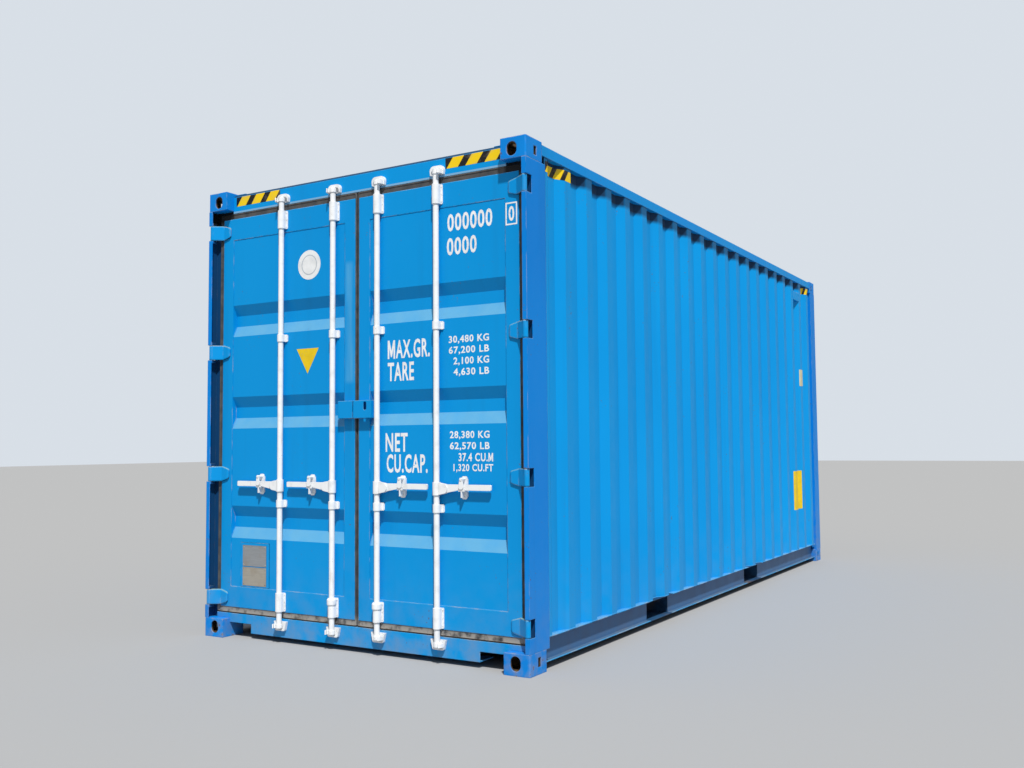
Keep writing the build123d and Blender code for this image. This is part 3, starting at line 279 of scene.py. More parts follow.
def retouched(material, low, high, colour, amount=1.0, soft=0.001, both=True, broken=False):
    """Gives a finish another colour between two corners, broken up if told."""
    tree = material.node_tree
    painted = tree.nodes["Principled BSDF"].inputs["Base Color"].links[0].from_socket
    place = add(tree, "ShaderNodeTexCoord").outputs["Object"]
    amount = times(tree, between(tree, place, low, high, soft, both), amount)
    if broken:
        scraped = grain(tree, place, 0.08, 4.0, stretch=(1.0, 1.0, 0.12))
        amount = times(tree, amount, share(tree, scraped, 0.35, 0.65))
    end_material(material, lay_over(tree, amount, painted, colour))


POCKET_SHADE_BLACK, PAINTED_SHADE_NAVY = (0.010, 0.011, 0.013), (0.008, 0.028, 0.070)
HEADER_TOP_DARK, PAINTED_EDGE_HIGHLIGHT, ROAD_FILM_AND_SHADE = (0.012, 0.035, 0.075), (0.36, 0.52, 0.60), (0.075, 0.090, 0.150)
# Two corners of each place in metres: along the container, out from its middle, and up.
HEADER_ENDS = ((-3.1, 1.059, 2.60), (-2.8, 1.25, 2.777))
HEADER_TOP_EDGE = ((-3.1, 0.0, 2.8675), (-2.8, 1.25, 2.90))
HEADER_FOOT_EDGE = ((-3.1, 0.0, 2.70), (-2.8, 1.057, 2.772))
BASE_RAIL_WEBS = ((-3.0, 0.0, 0.0), (3.0, 1.196, 0.174))
TROUGH_TOPS = ((-2.9, 1.170, 2.772), (2.9, 1.205, 2.83))
POST_RECESSES = ((-3.0215, 1.05, 0.0), (-2.80, 1.2148, 2.777))
POST_TOPS = ((-3.0215, 1.05, 2.69), (-2.80, 1.2148, 2.90))
header_paint = enamel("header_enamel", WALL_BLUE, WALL_FADED, dust=0.3, chips=0.7, dents=0.0012, rubbed=0.3,
                      ledges=0.0)
# Painted shade: the header's ends behind the castings go near black.
retouched(header_paint, *HEADER_ENDS, POCKET_SHADE_BLACK)
# The header's top edge is painted dark.
retouched(header_paint, *HEADER_TOP_EDGE, HEADER_TOP_DARK, 0.9)
# Painted highlight: a pale strip along the header's bottom edge.
retouched(header_paint, *HEADER_FOOT_EDGE, PAINTED_EDGE_HIGHLIGHT, 0.55)
dress(header_paint, "door_header")
# Road film and painted shade darken the base rails' webs and foot flanges.
retouched(base_rail_paint, *BASE_RAIL_WEBS, ROAD_FILM_AND_SHADE, 0.72)
# Painted shade: the tops of the wall troughs under the top rail go dark navy.
retouched(wall_paint, *TROUGH_TOPS, PAINTED_SHADE_NAVY, 0.96, 0.028)
post_paint = enamel("post_enamel", FRAME_BLUE, FRAME_FADED, dust=0.14, chips=1.0, dents=0.0012, rubbed=0.6)
# Painted shade: the posts' recesses behind the hinges go dark navy.
retouched(post_paint, *POST_RECESSES, PAINTED_SHADE_NAVY, 0.85)
# Painted shade: the tops of the posts' recesses behind the castings go near black.
retouched(post_paint, *POST_TOPS, POCKET_SHADE_BLACK)
dress(post_paint, "right_door_post", "left_door_post")


# Doors
# Each leaf is a welded frame of box section with a sheet pressed in three troughs. The sheet is flatter and
# cleaner than the walls, because it is handled and repainted more often. The left one's meeting stile is
# scraped pale where the other leaf rubs it.
DOOR_BLUE = (0.0006, 0.268, 0.660)
DOOR_FADED = (0.0012, 0.298, 0.705)
SCRAPED_BLUE = (0.10, 0.40, 0.68)
SCRAPED_STILE = ((-3.1, 0.045, 1.62), (-2.9, 0.070, 2.32))
door_paint = enamel("door_enamel", DOOR_BLUE, DOOR_FADED, dust=0.08, chips=0.5, dents=0.0018, streaks=0.22,
                    ledges=0.36)
leaf_frame_paint = enamel("leaf_frame_enamel", DOOR_BLUE, DOOR_FADED, dust=0.14, chips=0.9, dents=0.001,
                          rubbed=0.7)
# The hinges' high ledge share is a painted highlight on their top edges, and their underside share is painted
# shade on the faces that look down.
hinge_paint = enamel("hinge_enamel", DOOR_BLUE, DOOR_FADED, dust=0.2, chips=1.0, dents=0.0, rubbed=0.8,
                     ledges=0.85, under=0.92, edge_reach=0.012)
retouched(leaf_frame_paint, *SCRAPED_STILE, SCRAPED_BLUE, 0.75, 0.030, both=False, broken=True)
for hand in ("right", "left"):
    dress(door_paint, f"{hand}_door_panel")
    dress(leaf_frame_paint, f"{hand}_door_frame", f"{hand}_lock_box")
    dress(hinge_paint, f"{hand}_door_hinges")


# Door seals
# A black extruded rubber gasket runs round each leaf, with a round lip that presses on the header, posts and
# sill. It greys in the sun and dries to a pale dusty grey along the bottom where the rain stands, with
# painted shade under its lowest lip and behind the castings.
def weathered_rubber(name):
    """Rubber that greys with age, pale at the sill, with painted shade under its lowest lip and behind the
    castings.
    """
    material, tree, place = start_material(name, (0.08, 0.085, 0.09), 0.7, reflection=0.25)
    apart = add(tree, "ShaderNodeSeparateXYZ", {"Vector": place})
    height = apart.outputs["Z"]
    out = add(tree, "ShaderNodeMath", {0: apart.outputs["Y"]}, operation="ABSOLUTE").outputs[0]
    film = grain(tree, place, 0.05, 5.0)
    tint = lay_over(tree, share(tree, film, 0.35, 0.7), (0.050, 0.055, 0.062), (0.095, 0.10, 0.105))
    top = times(tree, share(tree, height, 2.70, 2.76), share(tree, film, 0.35, 0.6, 0.6))
    tint = lay_over(tree, top, tint, (0.10, 0.082, 0.07))
    low = times(tree, share(tree, height, 0.215, 0.168), share(tree, film, 0.30, 0.50, 0.9))
    tint = lay_over(tree, low, tint, (0.35, 0.335, 0.31))
    # Painted shade: a dark strip along the bottom, under the lowest lip.
    tint = lay_over(tree, share(tree, height, 0.162, 0.157), tint, (0.045, 0.035, 0.028))
    # Painted shade: near black behind the castings.
    corner = times(tree, share(tree, out, 1.04, 1.06), share(tree, height, 2.69, 2.72))
    tint = lay_over(tree, corner, tint, (0.012, 0.012, 0.013))
    normal = raise_surface(tree, grain(tree, place, 0.03, 2.0), 0.0010)
    normal = raise_surface(tree, grain(tree, place, 0.002, 2.0), 0.0001, normal)
    return end_material(material, tint, normal=normal)


seal_rubber = weathered_rubber("seal_rubber")
dress(seal_rubber, "right_door_seal", "left_door_seal")


# Lock gear
# Four pipes in saddle bearings with forged cams, keepers, hubs, handles, catches and hasps. All of it is
# zinc coated and then painted white. Where metal slides on metal the white is thin and grey, and rust bleeds.
def white_gear(name):
    """White paint over zinc, thin in places, with rust that runs from the joints."""
    colour, thin = (0.83, 0.85, 0.87), (0.56, 0.58, 0.60)
    material, tree, place = start_material(name, colour, 0.38, reflection=0.4)
    film = grain(tree, place, 0.06, 5.0)
    tint = lay_over(tree, share(tree, film, 0.52, 0.78, 0.6), colour, thin)
    runs = grain(tree, place, 0.012, 3.0, stretch=(1.0, 1.0, 0.07))
    where = grain(tree, place, 0.28, 2.0)
    bled = times(tree, share(tree, runs, 0.58, 0.75, 0.5), share(tree, where, 0.56, 0.68))
    tint = lay_over(tree, bled, tint, (0.42, 0.235, 0.12))
    spots = share(tree, grain(tree, place, 0.006, 3.0), 0.70, 0.72, 0.85)
    tint = lay_over(tree, times(tree, spots, share(tree, where, 0.5, 0.58)), tint, (0.13, 0.05, 0.02))
    rounded = rounded_edges(tree, 0.0035)
    edges = times(tree, worn_edges(tree, rounded), share(tree, film, 0.48, 0.66, 0.6))
    tint = lay_over(tree, edges, tint, (0.34, 0.33, 0.32))
    dull = share(tree, film, 0.4, 0.75, 0.5, 0.32)
    normal = raise_surface(tree, grain(tree, place, 0.005, 3.0), 0.0003, rounded)
    return end_material(material, tint, dull, normal)


gear_white = white_gear("gear_white")
dress(gear_white, "lock_keepers", "right_door_brackets", "left_door_brackets")
for hand in ("right", "left"):
    for place_name in ("inner", "outer"):
        for piece in ("lock_bar", "handle", "hasp"):
            dress(gear_white, f"{hand}_{place_name}_{piece}")


# Hinge pins
# Bare stainless pins through the lugs of the posts, dull, with a brown film where water stands.
def bare_steel(name):
    """Dull stainless steel with a thin brown film in spots."""
    material, tree, place = start_material(name, (0.42, 0.41, 0.40), 0.42, metallic=0.85)
    film = grain(tree, place, 0.012, 4.0)
    tint = lay_over(tree, share(tree, film, 0.5, 0.7, 0.85), (0.42, 0.41, 0.40), (0.20, 0.10, 0.055))
    dull = share(tree, film, 0.4, 0.7, 0.7, 0.35)
    return end_material(material, tint, dull, raise_surface(tree, film, 0.0002))


pin_steel = bare_steel("pin_steel")
dress(pin_steel, "hinge_pins")


# Floor
# Boards of 19-ply tropical hardwood with a thin varnish, laid each side of a steel centre strip and
# screwed down to the cross members. Truck tyres leave dark scuffs and dull the varnish along the middle.
def hardwood_ply(name):
    """Varnished hardwood with its grain along the container, scuffed by tyres."""
    material, tree, place = start_material(name, (0.30, 0.15, 0.08), 0.45, reflection=0.4)
    fibre = grain(tree, place, 0.02, 6.0, stretch=(0.06, 1.0, 1.0))
    figure = grain(tree, place, 0.16, 3.0, stretch=(0.18, 1.0, 1.0))
    tint = lay_over(tree, share(tree, figure, 0.35, 0.7), (0.34, 0.175, 0.09), (0.20, 0.095, 0.05))
    tint = lay_over(tree, share(tree, fibre, 0.5, 0.8, 0.55), tint, (0.42, 0.26, 0.15))
    scuffs = grain(tree, place, 0.35, 5.0, stretch=(0.35, 1.0, 1.0))
    tint = lay_over(tree, share(tree, scuffs, 0.56, 0.7, 0.55), tint, (0.075, 0.06, 0.05))
    dull = share(tree, scuffs, 0.4, 0.7, 0.7, 0.4)
    return end_material(material, tint, dull, raise_surface(tree, fibre, 0.0005))


floor_ply = hardwood_ply("floor_ply")
dress(floor_ply, "floor_boards")


# Underframe
# Cross members, fork pockets and the floor's steel strip, welded up of pressed channel and plate. They get a
# dark wax over the blue, which dust and dried mud stick to.
def waxed_steel(name):
    """Blue steel under a dark wax, spattered with dried mud."""
    material, tree, place = start_material(name, (0.012, 0.055, 0.13), 0.6, reflection=0.3)
    film = grain(tree, place, 0.09, 5.0)
    tint = lay_over(tree, share(tree, film, 0.4, 0.62), (0.010, 0.040, 0.10), (0.022, 0.085, 0.19))
    mud = grain(tree, place, 0.2, 6.0)
    tint = lay_over(tree, share(tree, mud, 0.52, 0.72, 0.7), tint, (0.19, 0.14, 0.10))
    dull = share(tree, mud, 0.45, 0.65, 0.85, 0.5)
    return end_material(material, tint, dull, raise_surface(tree, film, 0.0012))


underframe_wax = waxed_steel("underframe_wax")
dress(underframe_wax, "cross_members", "fork_pockets", "floor_centre_strip")


# Weld beads on the walls and roof
# The walls, the roof and the rails are joined by continuous arc welds. Each leaves a rippled bead about
# 6 mm wide in its corner, and the paint goes over it.
def start_tree(name, inputs, result):
    """A geometry tree with its named inputs, the identifiers that set them, and where they come in."""
    tree = bpy.data.node_groups.new(name, "GeometryNodeTree")
    sockets = {}
    for label, (kind, value) in inputs.items():
        socket = tree.interface.new_socket(name=label, in_out="INPUT", socket_type="NodeSocket" + kind)
        if value is not None:
            socket.default_value = value
        sockets[label] = socket.identifier
    tree.interface.new_socket(name=result, in_out="OUTPUT", socket_type="NodeSocketGeometry")
    return tree, sockets, add(tree, "NodeGroupInput").outputs


def end_tree(tree, shape, material):
    """The last steps of a geometry tree: real copies, their material, and the way out."""
    real = add(tree, "GeometryNodeRealizeInstances", {"Geometry": shape})
    painted = add(tree, "GeometryNodeSetMaterial", {"Geometry": real.outputs[0], "Material": material})
    out = add(tree, "NodeGroupOutput")
    tree.links.new(painted.outputs[0], out.inputs[0])


BEAD_SIDES = 6


def weld_tree(material):
    """A bead that follows the edges of a mesh: evenly spaced, swollen at random, closed at its ends."""
    tree, sockets, given = start_tree("weld_bead", {
        "Path": ("Geometry", None), "Bead radius": ("Float", 0.003), "Ripple spacing": ("Float", 0.012),
        "Ripple": ("Float", 0.35), "Seed": ("Int", 4)}, "Bead")
    path = add(tree, "GeometryNodeMeshToCurve", {"Mesh": given["Path"]}).outputs[0]
    even = add(tree, "GeometryNodeResampleCurve", {"Curve": path, "Length": given["Ripple spacing"]},
               mode="LENGTH").outputs[0]
    least = add(tree, "ShaderNodeMath", {0: 1.0, 1: given["Ripple"]}, operation="SUBTRACT").outputs[0]
    swell = add(tree, "FunctionNodeRandomValue", {2: least, 3: 1.0, "Seed": given["Seed"]}, data_type="FLOAT")
    swollen = add(tree, "GeometryNodeSetCurveRadius", {"Curve": even, "Radius": swell.outputs[1]}).outputs[0]
    ring = add(tree, "GeometryNodeCurvePrimitiveCircle",
               {"Resolution": BEAD_SIDES, "Radius": given["Bead radius"]}, mode="RADIUS").outputs[0]
    radius = add(tree, "GeometryNodeInputRadius").outputs[0]
    solid = add(tree, "GeometryNodeCurveToMesh", {"Curve": swollen, "Profile Curve": ring, "Scale": radius,
                                                  "Fill Caps": True})
    smooth = add(tree, "GeometryNodeSetShadeSmooth", {"Geometry": solid.outputs[0]})
    end_tree(tree, smooth.outputs[0], material)
    return tree, sockets


def put(name, data):
    """A new object in the scene, with its mesh, text, lamp or camera."""
    made = bpy.data.objects.new(name, data)
    bpy.context.scene.collection.objects.link(made)
    return made


def new_mesh(name, points, edges=(), faces=()):
    """A mesh from its points, edges and faces."""
    mesh = bpy.data.meshes.new(name)
    mesh.from_pydata(points, edges, faces)
    return mesh


def grown(name, start, tree, sockets, values):
    """The mesh that a geometry tree makes of a starting mesh, as a plain object at the origin."""
    seed_object = put(name + "_start", start)
    modifier = seed_object.modifiers.new("grow", "NODES")
    modifier.node_group = tree
    for key, value in values.items():
        modifier[sockets[key]] = value
    bpy.context.view_layer.update()
    graph = bpy.context.evaluated_depsgraph_get()
    mesh = bpy.data.meshes.new_from_object(seed_object.evaluated_get(graph), depsgraph=graph)
    mesh.name = name
    bpy.data.objects.remove(seed_object)
    return put(name, mesh)


def path_mesh(name, lines):
    """Several open or closed lines of points, as the edges of one mesh."""
    points, edges = [], []
    for line in lines:
        first = len(points)
        points += line
        edges += [(first + i, first + i + 1) for i in range(len(line) - 1)]
    return new_mesh(name, points, edges)


# The side walls' pressing, as the source has it: where each crest, slope and trough lies along the wall.
WALL_START, WALL_END = -2.815, 2.869
WALL_FIRST_CREST, WALL_CREST, WALL_SLOPE, WALL_ROOT = 0.037, 0.072, 0.068, 0.0705
WALL_FACE, WALL_DEPTH = 1.213, 0.036
WALL_FOOT, WALL_HEAD = 0.178, 2.824


def pressing(start, end, first, crest, slope, root):
    """Places along a pressed sheet and how deep each lies, from 0 on a crest to 1 in a trough."""
    line, here = [(start, 0.0)], start + first
    line.append((here, 0.0))
    while here < end:
        for run, level in ((slope, 1.0), (root, 1.0), (slope, 0.0), (crest, 0.0)):
            before = line[-1]
            here += run
            if here >= end:
                cut = (end - before[0]) / run
                line.append((end, before[1] + (level - before[1]) * cut))
                return line
            line.append((here, level))
    return line


wall_line = pressing(WALL_START, WALL_END, WALL_FIRST_CREST, WALL_CREST, WALL_SLOPE, WALL_ROOT)
FRONT_FACE, FRONT_DEPTH, FRONT_HALF = 3.023, 0.0456, 1.089
FRONT_CREST, FRONT_SLOPE, FRONT_ROOT = 0.104, 0.018, 0.110
front_pitch = FRONT_CREST + 2 * FRONT_SLOPE + FRONT_ROOT
front_troughs = math.floor((2 * FRONT_HALF - FRONT_CREST / 2) / front_pitch)
front_first = (2 * FRONT_HALF - (front_troughs * front_pitch - FRONT_CREST)) / 2
front_line = pressing(-FRONT_HALF, FRONT_HALF, front_first, FRONT_CREST, FRONT_SLOPE, FRONT_ROOT)
BEAD, SEAM_INSET, ROOF_SEAM_DROP = 0.0032, 0.001, 0.0012
seams = []
for side in (-1, 1):
    for z in (WALL_FOOT + SEAM_INSET, WALL_HEAD - SEAM_INSET):
        seams.append([(x, side * (WALL_FACE - WALL_DEPTH * level), z) for x, level in wall_line])
for z in (WALL_FOOT + SEAM_INSET, WALL_HEAD - SEAM_INSET):
    seams.append([(FRONT_FACE - FRONT_DEPTH * level, y, z) for y, level in front_line])
roof_low, roof_high = (Vector(p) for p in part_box("roof_sheet"))
roof_round = ((roof_low.x, roof_low.y), (roof_high.x, roof_low.y), (roof_high.x, roof_high.y),
              (roof_low.x, roof_high.y), (roof_low.x, roof_low.y))
seams.append([(x, y, roof_high.z - ROOF_SEAM_DROP) for x, y in roof_round])
bead_tree, bead_sockets = weld_tree(wall_paint)
wall_beads = grown("wall_weld_beads", path_mesh("wall_seams", seams), bead_tree, bead_sockets,
                   {"Bead radius": BEAD})
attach(wall_beads, "container")


# Weld beads on the doors
# The pressed sheet is welded into its frame all round, and the bearings, guides, catches and lock box are
# welded on afterwards. The beads follow the sheet into its troughs.
DOOR_END = cad_box[0][0]


def at_door(x, depth, z):
    """A place on the door end in millimetres: right of the middle, behind the castings' faces, and up."""
    return (DOOR_END + depth / 1000, -x / 1000, z / 1000)


LEAF_DEPTH, PANEL_DEPTH, TROUGH_BACK = 59.0, 62.0, 94.0
PANEL_LEFT, PANEL_RIGHT, PANEL_FOOT, PANEL_HEAD = 98.0, 1050.0, 322.0, 2581.0
TROUGHS, TROUGH_ROOT, TROUGH_MOUTH = (736.0, 1441.5, 2042.5), 35.0, 103.0
BAR_PLACES = (172.0, 600.0)
sheet_edge = [(PANEL_FOOT, PANEL_DEPTH)]
for middle in TROUGHS:
    sheet_edge += [(middle - TROUGH_MOUTH, PANEL_DEPTH), (middle - TROUGH_ROOT, TROUGH_BACK),
                   (middle + TROUGH_ROOT, TROUGH_BACK), (middle + TROUGH_MOUTH, PANEL_DEPTH)]
sheet_edge.append((PANEL_HEAD, PANEL_DEPTH))
# The foot, head, half width and depth of each block that a bar runs in, from the sill to the header.
BLOCKS = ((196.0, 311.0, 30.0, LEAF_DEPTH), (841.0, 887.0, 34.0, PANEL_DEPTH),
          (1879.0, 1925.0, 34.0, PANEL_DEPTH), (2601.0, 2716.0, 30.0, LEAF_DEPTH))
BLOCK_SEAM_SHORT, CATCH_SEAM_SHORT, SHEET_SEAM_OUT, GEAR_SEAM_OUT = 4.0, 14.0, 1.0, 0.5
CATCH_PAST_BAR, CATCH_HALF, CATCH_FOOT, CATCH_HEAD = 175.0, 19.0, 919.0, 1047.0
LOCK_BOX = {"right": (2.5, 138.0), "left": (2.5, 115.0)}
LOCK_BOX_FOOT, LOCK_BOX_HEAD = 1385.0, 1490.0
door_bead_tree, door_bead_sockets = weld_tree(leaf_frame_paint)
gear_bead_tree, gear_bead_sockets = weld_tree(gear_white)
for sign, hand in ((1, "right"), (-1, "left")):
    sheet_seams = [[at_door(sign * x, depth - SHEET_SEAM_OUT, z) for z, depth in sheet_edge]
                   for x in (PANEL_LEFT, PANEL_RIGHT)]
    sheet_seams += [[at_door(sign * x, PANEL_DEPTH - SHEET_SEAM_OUT, z) for x in (PANEL_LEFT, PANEL_RIGHT)]
                    for z in (PANEL_FOOT, PANEL_HEAD)]
    near, far = LOCK_BOX[hand]
    far += SHEET_SEAM_OUT
    box_round = ((near, LOCK_BOX_FOOT), (far, LOCK_BOX_FOOT), (far, LOCK_BOX_HEAD), (near, LOCK_BOX_HEAD))
    sheet_seams.append([at_door(sign * x, LEAF_DEPTH, z) for x, z in box_round])
    sheet_beads = grown(f"{hand}_sheet_weld_beads", path_mesh("sheet_seams", sheet_seams), door_bead_tree,
                        door_bead_sockets, {"Bead radius": 0.0028, "Ripple spacing": 0.010})
    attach(sheet_beads, f"{hand}_door")
    gear_seams = []
    for bar in BAR_PLACES:
        uprights = [(bar + s * half, depth, low + BLOCK_SEAM_SHORT, high - BLOCK_SEAM_SHORT)
                    for low, high, half, depth in BLOCKS for s in (-1, 1)]
        uprights += [(bar + CATCH_PAST_BAR + s * CATCH_HALF, PANEL_DEPTH, CATCH_FOOT + CATCH_SEAM_SHORT,
                      CATCH_HEAD - CATCH_SEAM_SHORT) for s in (-1, 1)]
        gear_seams += [[at_door(sign * x, depth - GEAR_SEAM_OUT, z) for z in (low, high)]
                       for x, depth, low, high in uprights]
    gear_beads = grown(f"{hand}_gear_weld_beads", path_mesh("gear_seams", gear_seams), gear_bead_tree,
                       gear_bead_sockets, {"Bead radius": 0.0030, "Ripple spacing": 0.008})
    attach(gear_beads, f"{hand}_door")


# Gasket lips
# The gasket is extruded with a round hollow lip on its outer edge, which is what closes the joint. It runs
# round each leaf in one piece, with mitred and glued corners.
LIP_R, LIP_DEPTH = 0.0052, 63.0
LIP_MEETING, LIP_OUTER, LIP_FOOT, LIP_HEAD = 10.5, 1165.5, 157.0, 2753.0
lip_tree, lip_sockets = weld_tree(seal_rubber)
lip_round = ((LIP_MEETING, LIP_FOOT), (LIP_OUTER, LIP_FOOT), (LIP_OUTER, LIP_HEAD), (LIP_MEETING, LIP_HEAD),
             (LIP_MEETING, LIP_FOOT))
for sign, hand in ((1, "right"), (-1, "left")):
    lip_line = path_mesh("lip_line", [[at_door(sign * x, LIP_DEPTH, z) for x, z in lip_round]])
    lips = grown(f"{hand}_gasket_lip", lip_line, lip_tree, lip_sockets,
                 {"Bead radius": LIP_R, "Ripple spacing": 0.020, "Ripple": 0.06})
    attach(lips, f"{hand}_door")


# Rivets and screws
# Domed rivets hold the guides and bearings to their plates, and countersunk screws hold the floor boards to
# the cross members. Each head is a low cone with a flat top on a thin washer.
WASHER_SIDES, WASHER_THIN = 12, 0.25


def stud_tree(material):
    """Heads on points that all face one way, with a washer under each."""
    tree, sockets, given = start_tree("stud_heads", {
        "Places": ("Geometry", None), "Head radius": ("Float", 0.004), "Head height": ("Float", 0.003),
        "Top share": ("Float", 0.6), "Washer share": ("Float", 1.5), "Sides": ("Int", 10),
        "Facing": ("Vector", (-1.0, 0.0, 0.0))}, "Heads")
    top = times(tree, given["Head radius"], given["Top share"])
    head = add(tree, "GeometryNodeMeshCone", {
        "Vertices": given["Sides"], "Radius Top": top, "Radius Bottom": given["Head radius"],
        "Depth": given["Head height"]})
    brim = times(tree, given["Head radius"], given["Washer share"])
    thin = times(tree, given["Head height"], WASHER_THIN)
    washer = add(tree, "GeometryNodeMeshCone", {
        "Vertices": WASHER_SIDES, "Radius Top": brim, "Radius Bottom": brim, "Depth": thin})
    both = add(tree, "GeometryNodeJoinGeometry")
    for part in (head, washer):
        tree.links.new(part.outputs["Mesh"], both.inputs[0])
    turn = add(tree, "FunctionNodeAlignRotationToVector", {"Vector": given["Facing"]}, axis="Z")
    heads = add(tree, "GeometryNodeInstanceOnPoints", {"Points": given["Places"], "Instance": both.outputs[0],
                                                       "Rotation": turn.outputs[0]})
    end_tree(tree, heads.outputs[0], material)
    return tree, sockets


rivet_tree, rivet_sockets = stud_tree(gear_white)
GUIDE_T, RIVET_R, RIVET_INSET, TALL_BLOCK = 5.0, 0.0032, 4.0, 60.0
for sign, hand in ((1, "right"), (-1, "left")):
    points = []
    for bar in BAR_PLACES:
        for low, high, half, depth in BLOCKS:
            rows = (0.12, 0.5, 0.88) if high - low > TALL_BLOCK else (0.25, 0.75)
            points += [at_door(sign * (bar + s * (half - RIVET_INSET)), depth - GUIDE_T,
                               low + (high - low) * part) for s in (-1, 1) for part in rows]
    rivets = grown(f"{hand}_bearing_rivets", new_mesh("rivet_points", points), rivet_tree, rivet_sockets,
                   {"Head radius": RIVET_R, "Head height": 0.0022, "Washer share": 1.1})
    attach(rivets, f"{hand}_door")

screw_tree, screw_sockets = stud_tree(pin_steel)
boards_low, boards_high = (Vector(p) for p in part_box("floor_boards"))
SCREW_ROWS, SCREW_PITCH, SCREW_INSET, SCREW_LAST_INSET, SCREW_SUNK = 10, 0.300, 0.090, 0.02, 0.0003
floor_points = []
place_x = boards_low.x + SCREW_INSET
while place_x < boards_high.x - SCREW_LAST_INSET:
    for row in range(SCREW_ROWS):
        place_y = boards_low.y + (boards_high.y - boards_low.y) * ((row + 0.5) / SCREW_ROWS)
        floor_points.append((place_x, place_y, boards_high.z - SCREW_SUNK))
    place_x += SCREW_PITCH
floor_screws = grown("floor_screws", new_mesh("screw_points", floor_points), screw_tree, screw_sockets,
                     {"Head radius": 0.0065, "Head height": 0.0008, "Top share": 0.9, "Washer share": 0.7,
                      "Facing": (0.0, 0.0, 1.0)})
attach(floor_screws, "container")


# Markings
# Stencilled and film marks on the doors: white figures and plain words for the weights and the volume, a
# round disc, a warning-yellow triangle without words, and a riveted plate that is left bare.
BLUE_BENEATH = (0.010, 0.17, 0.46)


def sign_film(name, colour, worn, roughness=0.5):
    """Marking film or stencil paint, a little uneven, with small flakes gone."""
    material, tree, place = start_material(name, colour, roughness, reflection=0.3)
    film = grain(tree, place, 0.05, 4.0)
    shade = tuple(0.86 * c for c in colour)
    tint = lay_over(tree, share(tree, film, 0.35, 0.7), colour, shade)
    flakes = share(tree, grain(tree, place, 0.011, 5.0), 0.66, 0.69, worn)
    tint = lay_over(tree, flakes, tint, BLUE_BENEATH)
    normal = raise_surface(tree, grain(tree, place, 0.004, 2.0), 0.0001)
    return end_material(material, tint, normal=normal)


def lay_on_door(name, points, faces, depth, material, hand):
    """Lays a mesh of film on a leaf, from points that hold right, up and out in millimetres."""
    mesh = new_mesh(name, [at_door(x, depth - out, z) for x, z, out in points], faces=faces)
    mesh.materials.append(material)
    made = put(name, mesh)
    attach(made, f"{hand}_door" if hand else "container")


FILM_T, FILM_SUNK = 0.6, 0.1


def cut_film(name, outline, depth, material, hand, thick=FILM_T):
    """Lays a flat piece with a straight edge, from its outline seen from outside, counterclockwise."""
    count = len(outline)
    points = [(x, z, thick) for x, z in outline] + [(x, z, -FILM_SUNK) for x, z in outline]
    faces = [tuple(range(count)), tuple(range(2 * count - 1, count - 1, -1))]
    faces += [(i, i + count, (i + 1) % count + count, (i + 1) % count) for i in range(count)]
    lay_on_door(name, points, faces, depth, material, hand)


def oblong(left, right, foot, head):
    """The outline of an upright rectangle, counterclockwise."""
    return (left, foot), (right, foot), (right, head), (left, head)


def rim_bars(left, right, foot, head, rim):
    """The four bars of a rectangular rim, each by its left, right, foot and head."""
    return {"left": (left, left + rim, foot, head), "right": (right - rim, right, foot, head),
            "foot": (left + rim, right - rim, foot, foot + rim),
            "head": (left + rim, right - rim, head - rim, head)}


def round_outline(x, z, radius, count=48):
    """Points round a circle, counterclockwise."""
    turns = [2 * math.pi * i / count for i in range(count)]
    return [(x + radius * math.cos(turn), z + radius * math.sin(turn)) for turn in turns]


BOLD, APART = 0.022, 1.12
stencil_white = sign_film("stencil_white", (0.86, 0.87, 0.88), 0.8)


def lettered(name, rows, depth, hand):
    """Lays lines of plain figures and words, each fitted to its own place: left, right, foot and head."""
    points, faces = [], []
    for text, left, right, foot, head in rows:
        curve = bpy.data.curves.new("line", "FONT")
        curve.body = text
        curve.size = 1.0
        curve.extrude = 0.01
        curve.offset = BOLD
        curve.resolution_u = 3
        curve.space_character = APART
        holder = put("line", curve)
        bpy.context.view_layer.update()
        flat = bpy.data.meshes.new_from_object(holder.evaluated_get(bpy.context.evaluated_depsgraph_get()))
        wide = [v.co.x for v in flat.vertices]
        tall = [v.co.y for v in flat.vertices]
        grow_x = (right - left) / (max(wide) - min(wide))
        grow_z = (head - foot) / (max(tall) - min(tall))
        first = len(points)
        points += [(left + (v.co.x - min(wide)) * grow_x, foot + (v.co.y - min(tall)) * grow_z,
                    FILM_T if v.co.z > 0 else -FILM_SUNK) for v in flat.vertices]
        faces += [tuple(first + i for i in p.vertices) for p in flat.polygons]
        bpy.data.objects.remove(holder)
        bpy.data.meshes.remove(flat)
    lay_on_door(name, points, faces, depth, stencil_white, hand)


SERIAL_ROWS = (("000000", 661, 965, 2437, 2538), ("0000", 657, 860, 2299, 2400))
CHECK_BOX, CHECK_LINE = (1053, 1128, 2426, 2552), 8
lettered("serial_figures", SERIAL_ROWS, PANEL_DEPTH, "right")
lettered("check_figure", (("0", 1073, 1109, 2447, 2531),), LEAF_DEPTH, "right")
for side, bar in rim_bars(*CHECK_BOX, CHECK_LINE).items():
    cut_film(f"check_box_{side}", oblong(*bar), LEAF_DEPTH, stencil_white, "right")

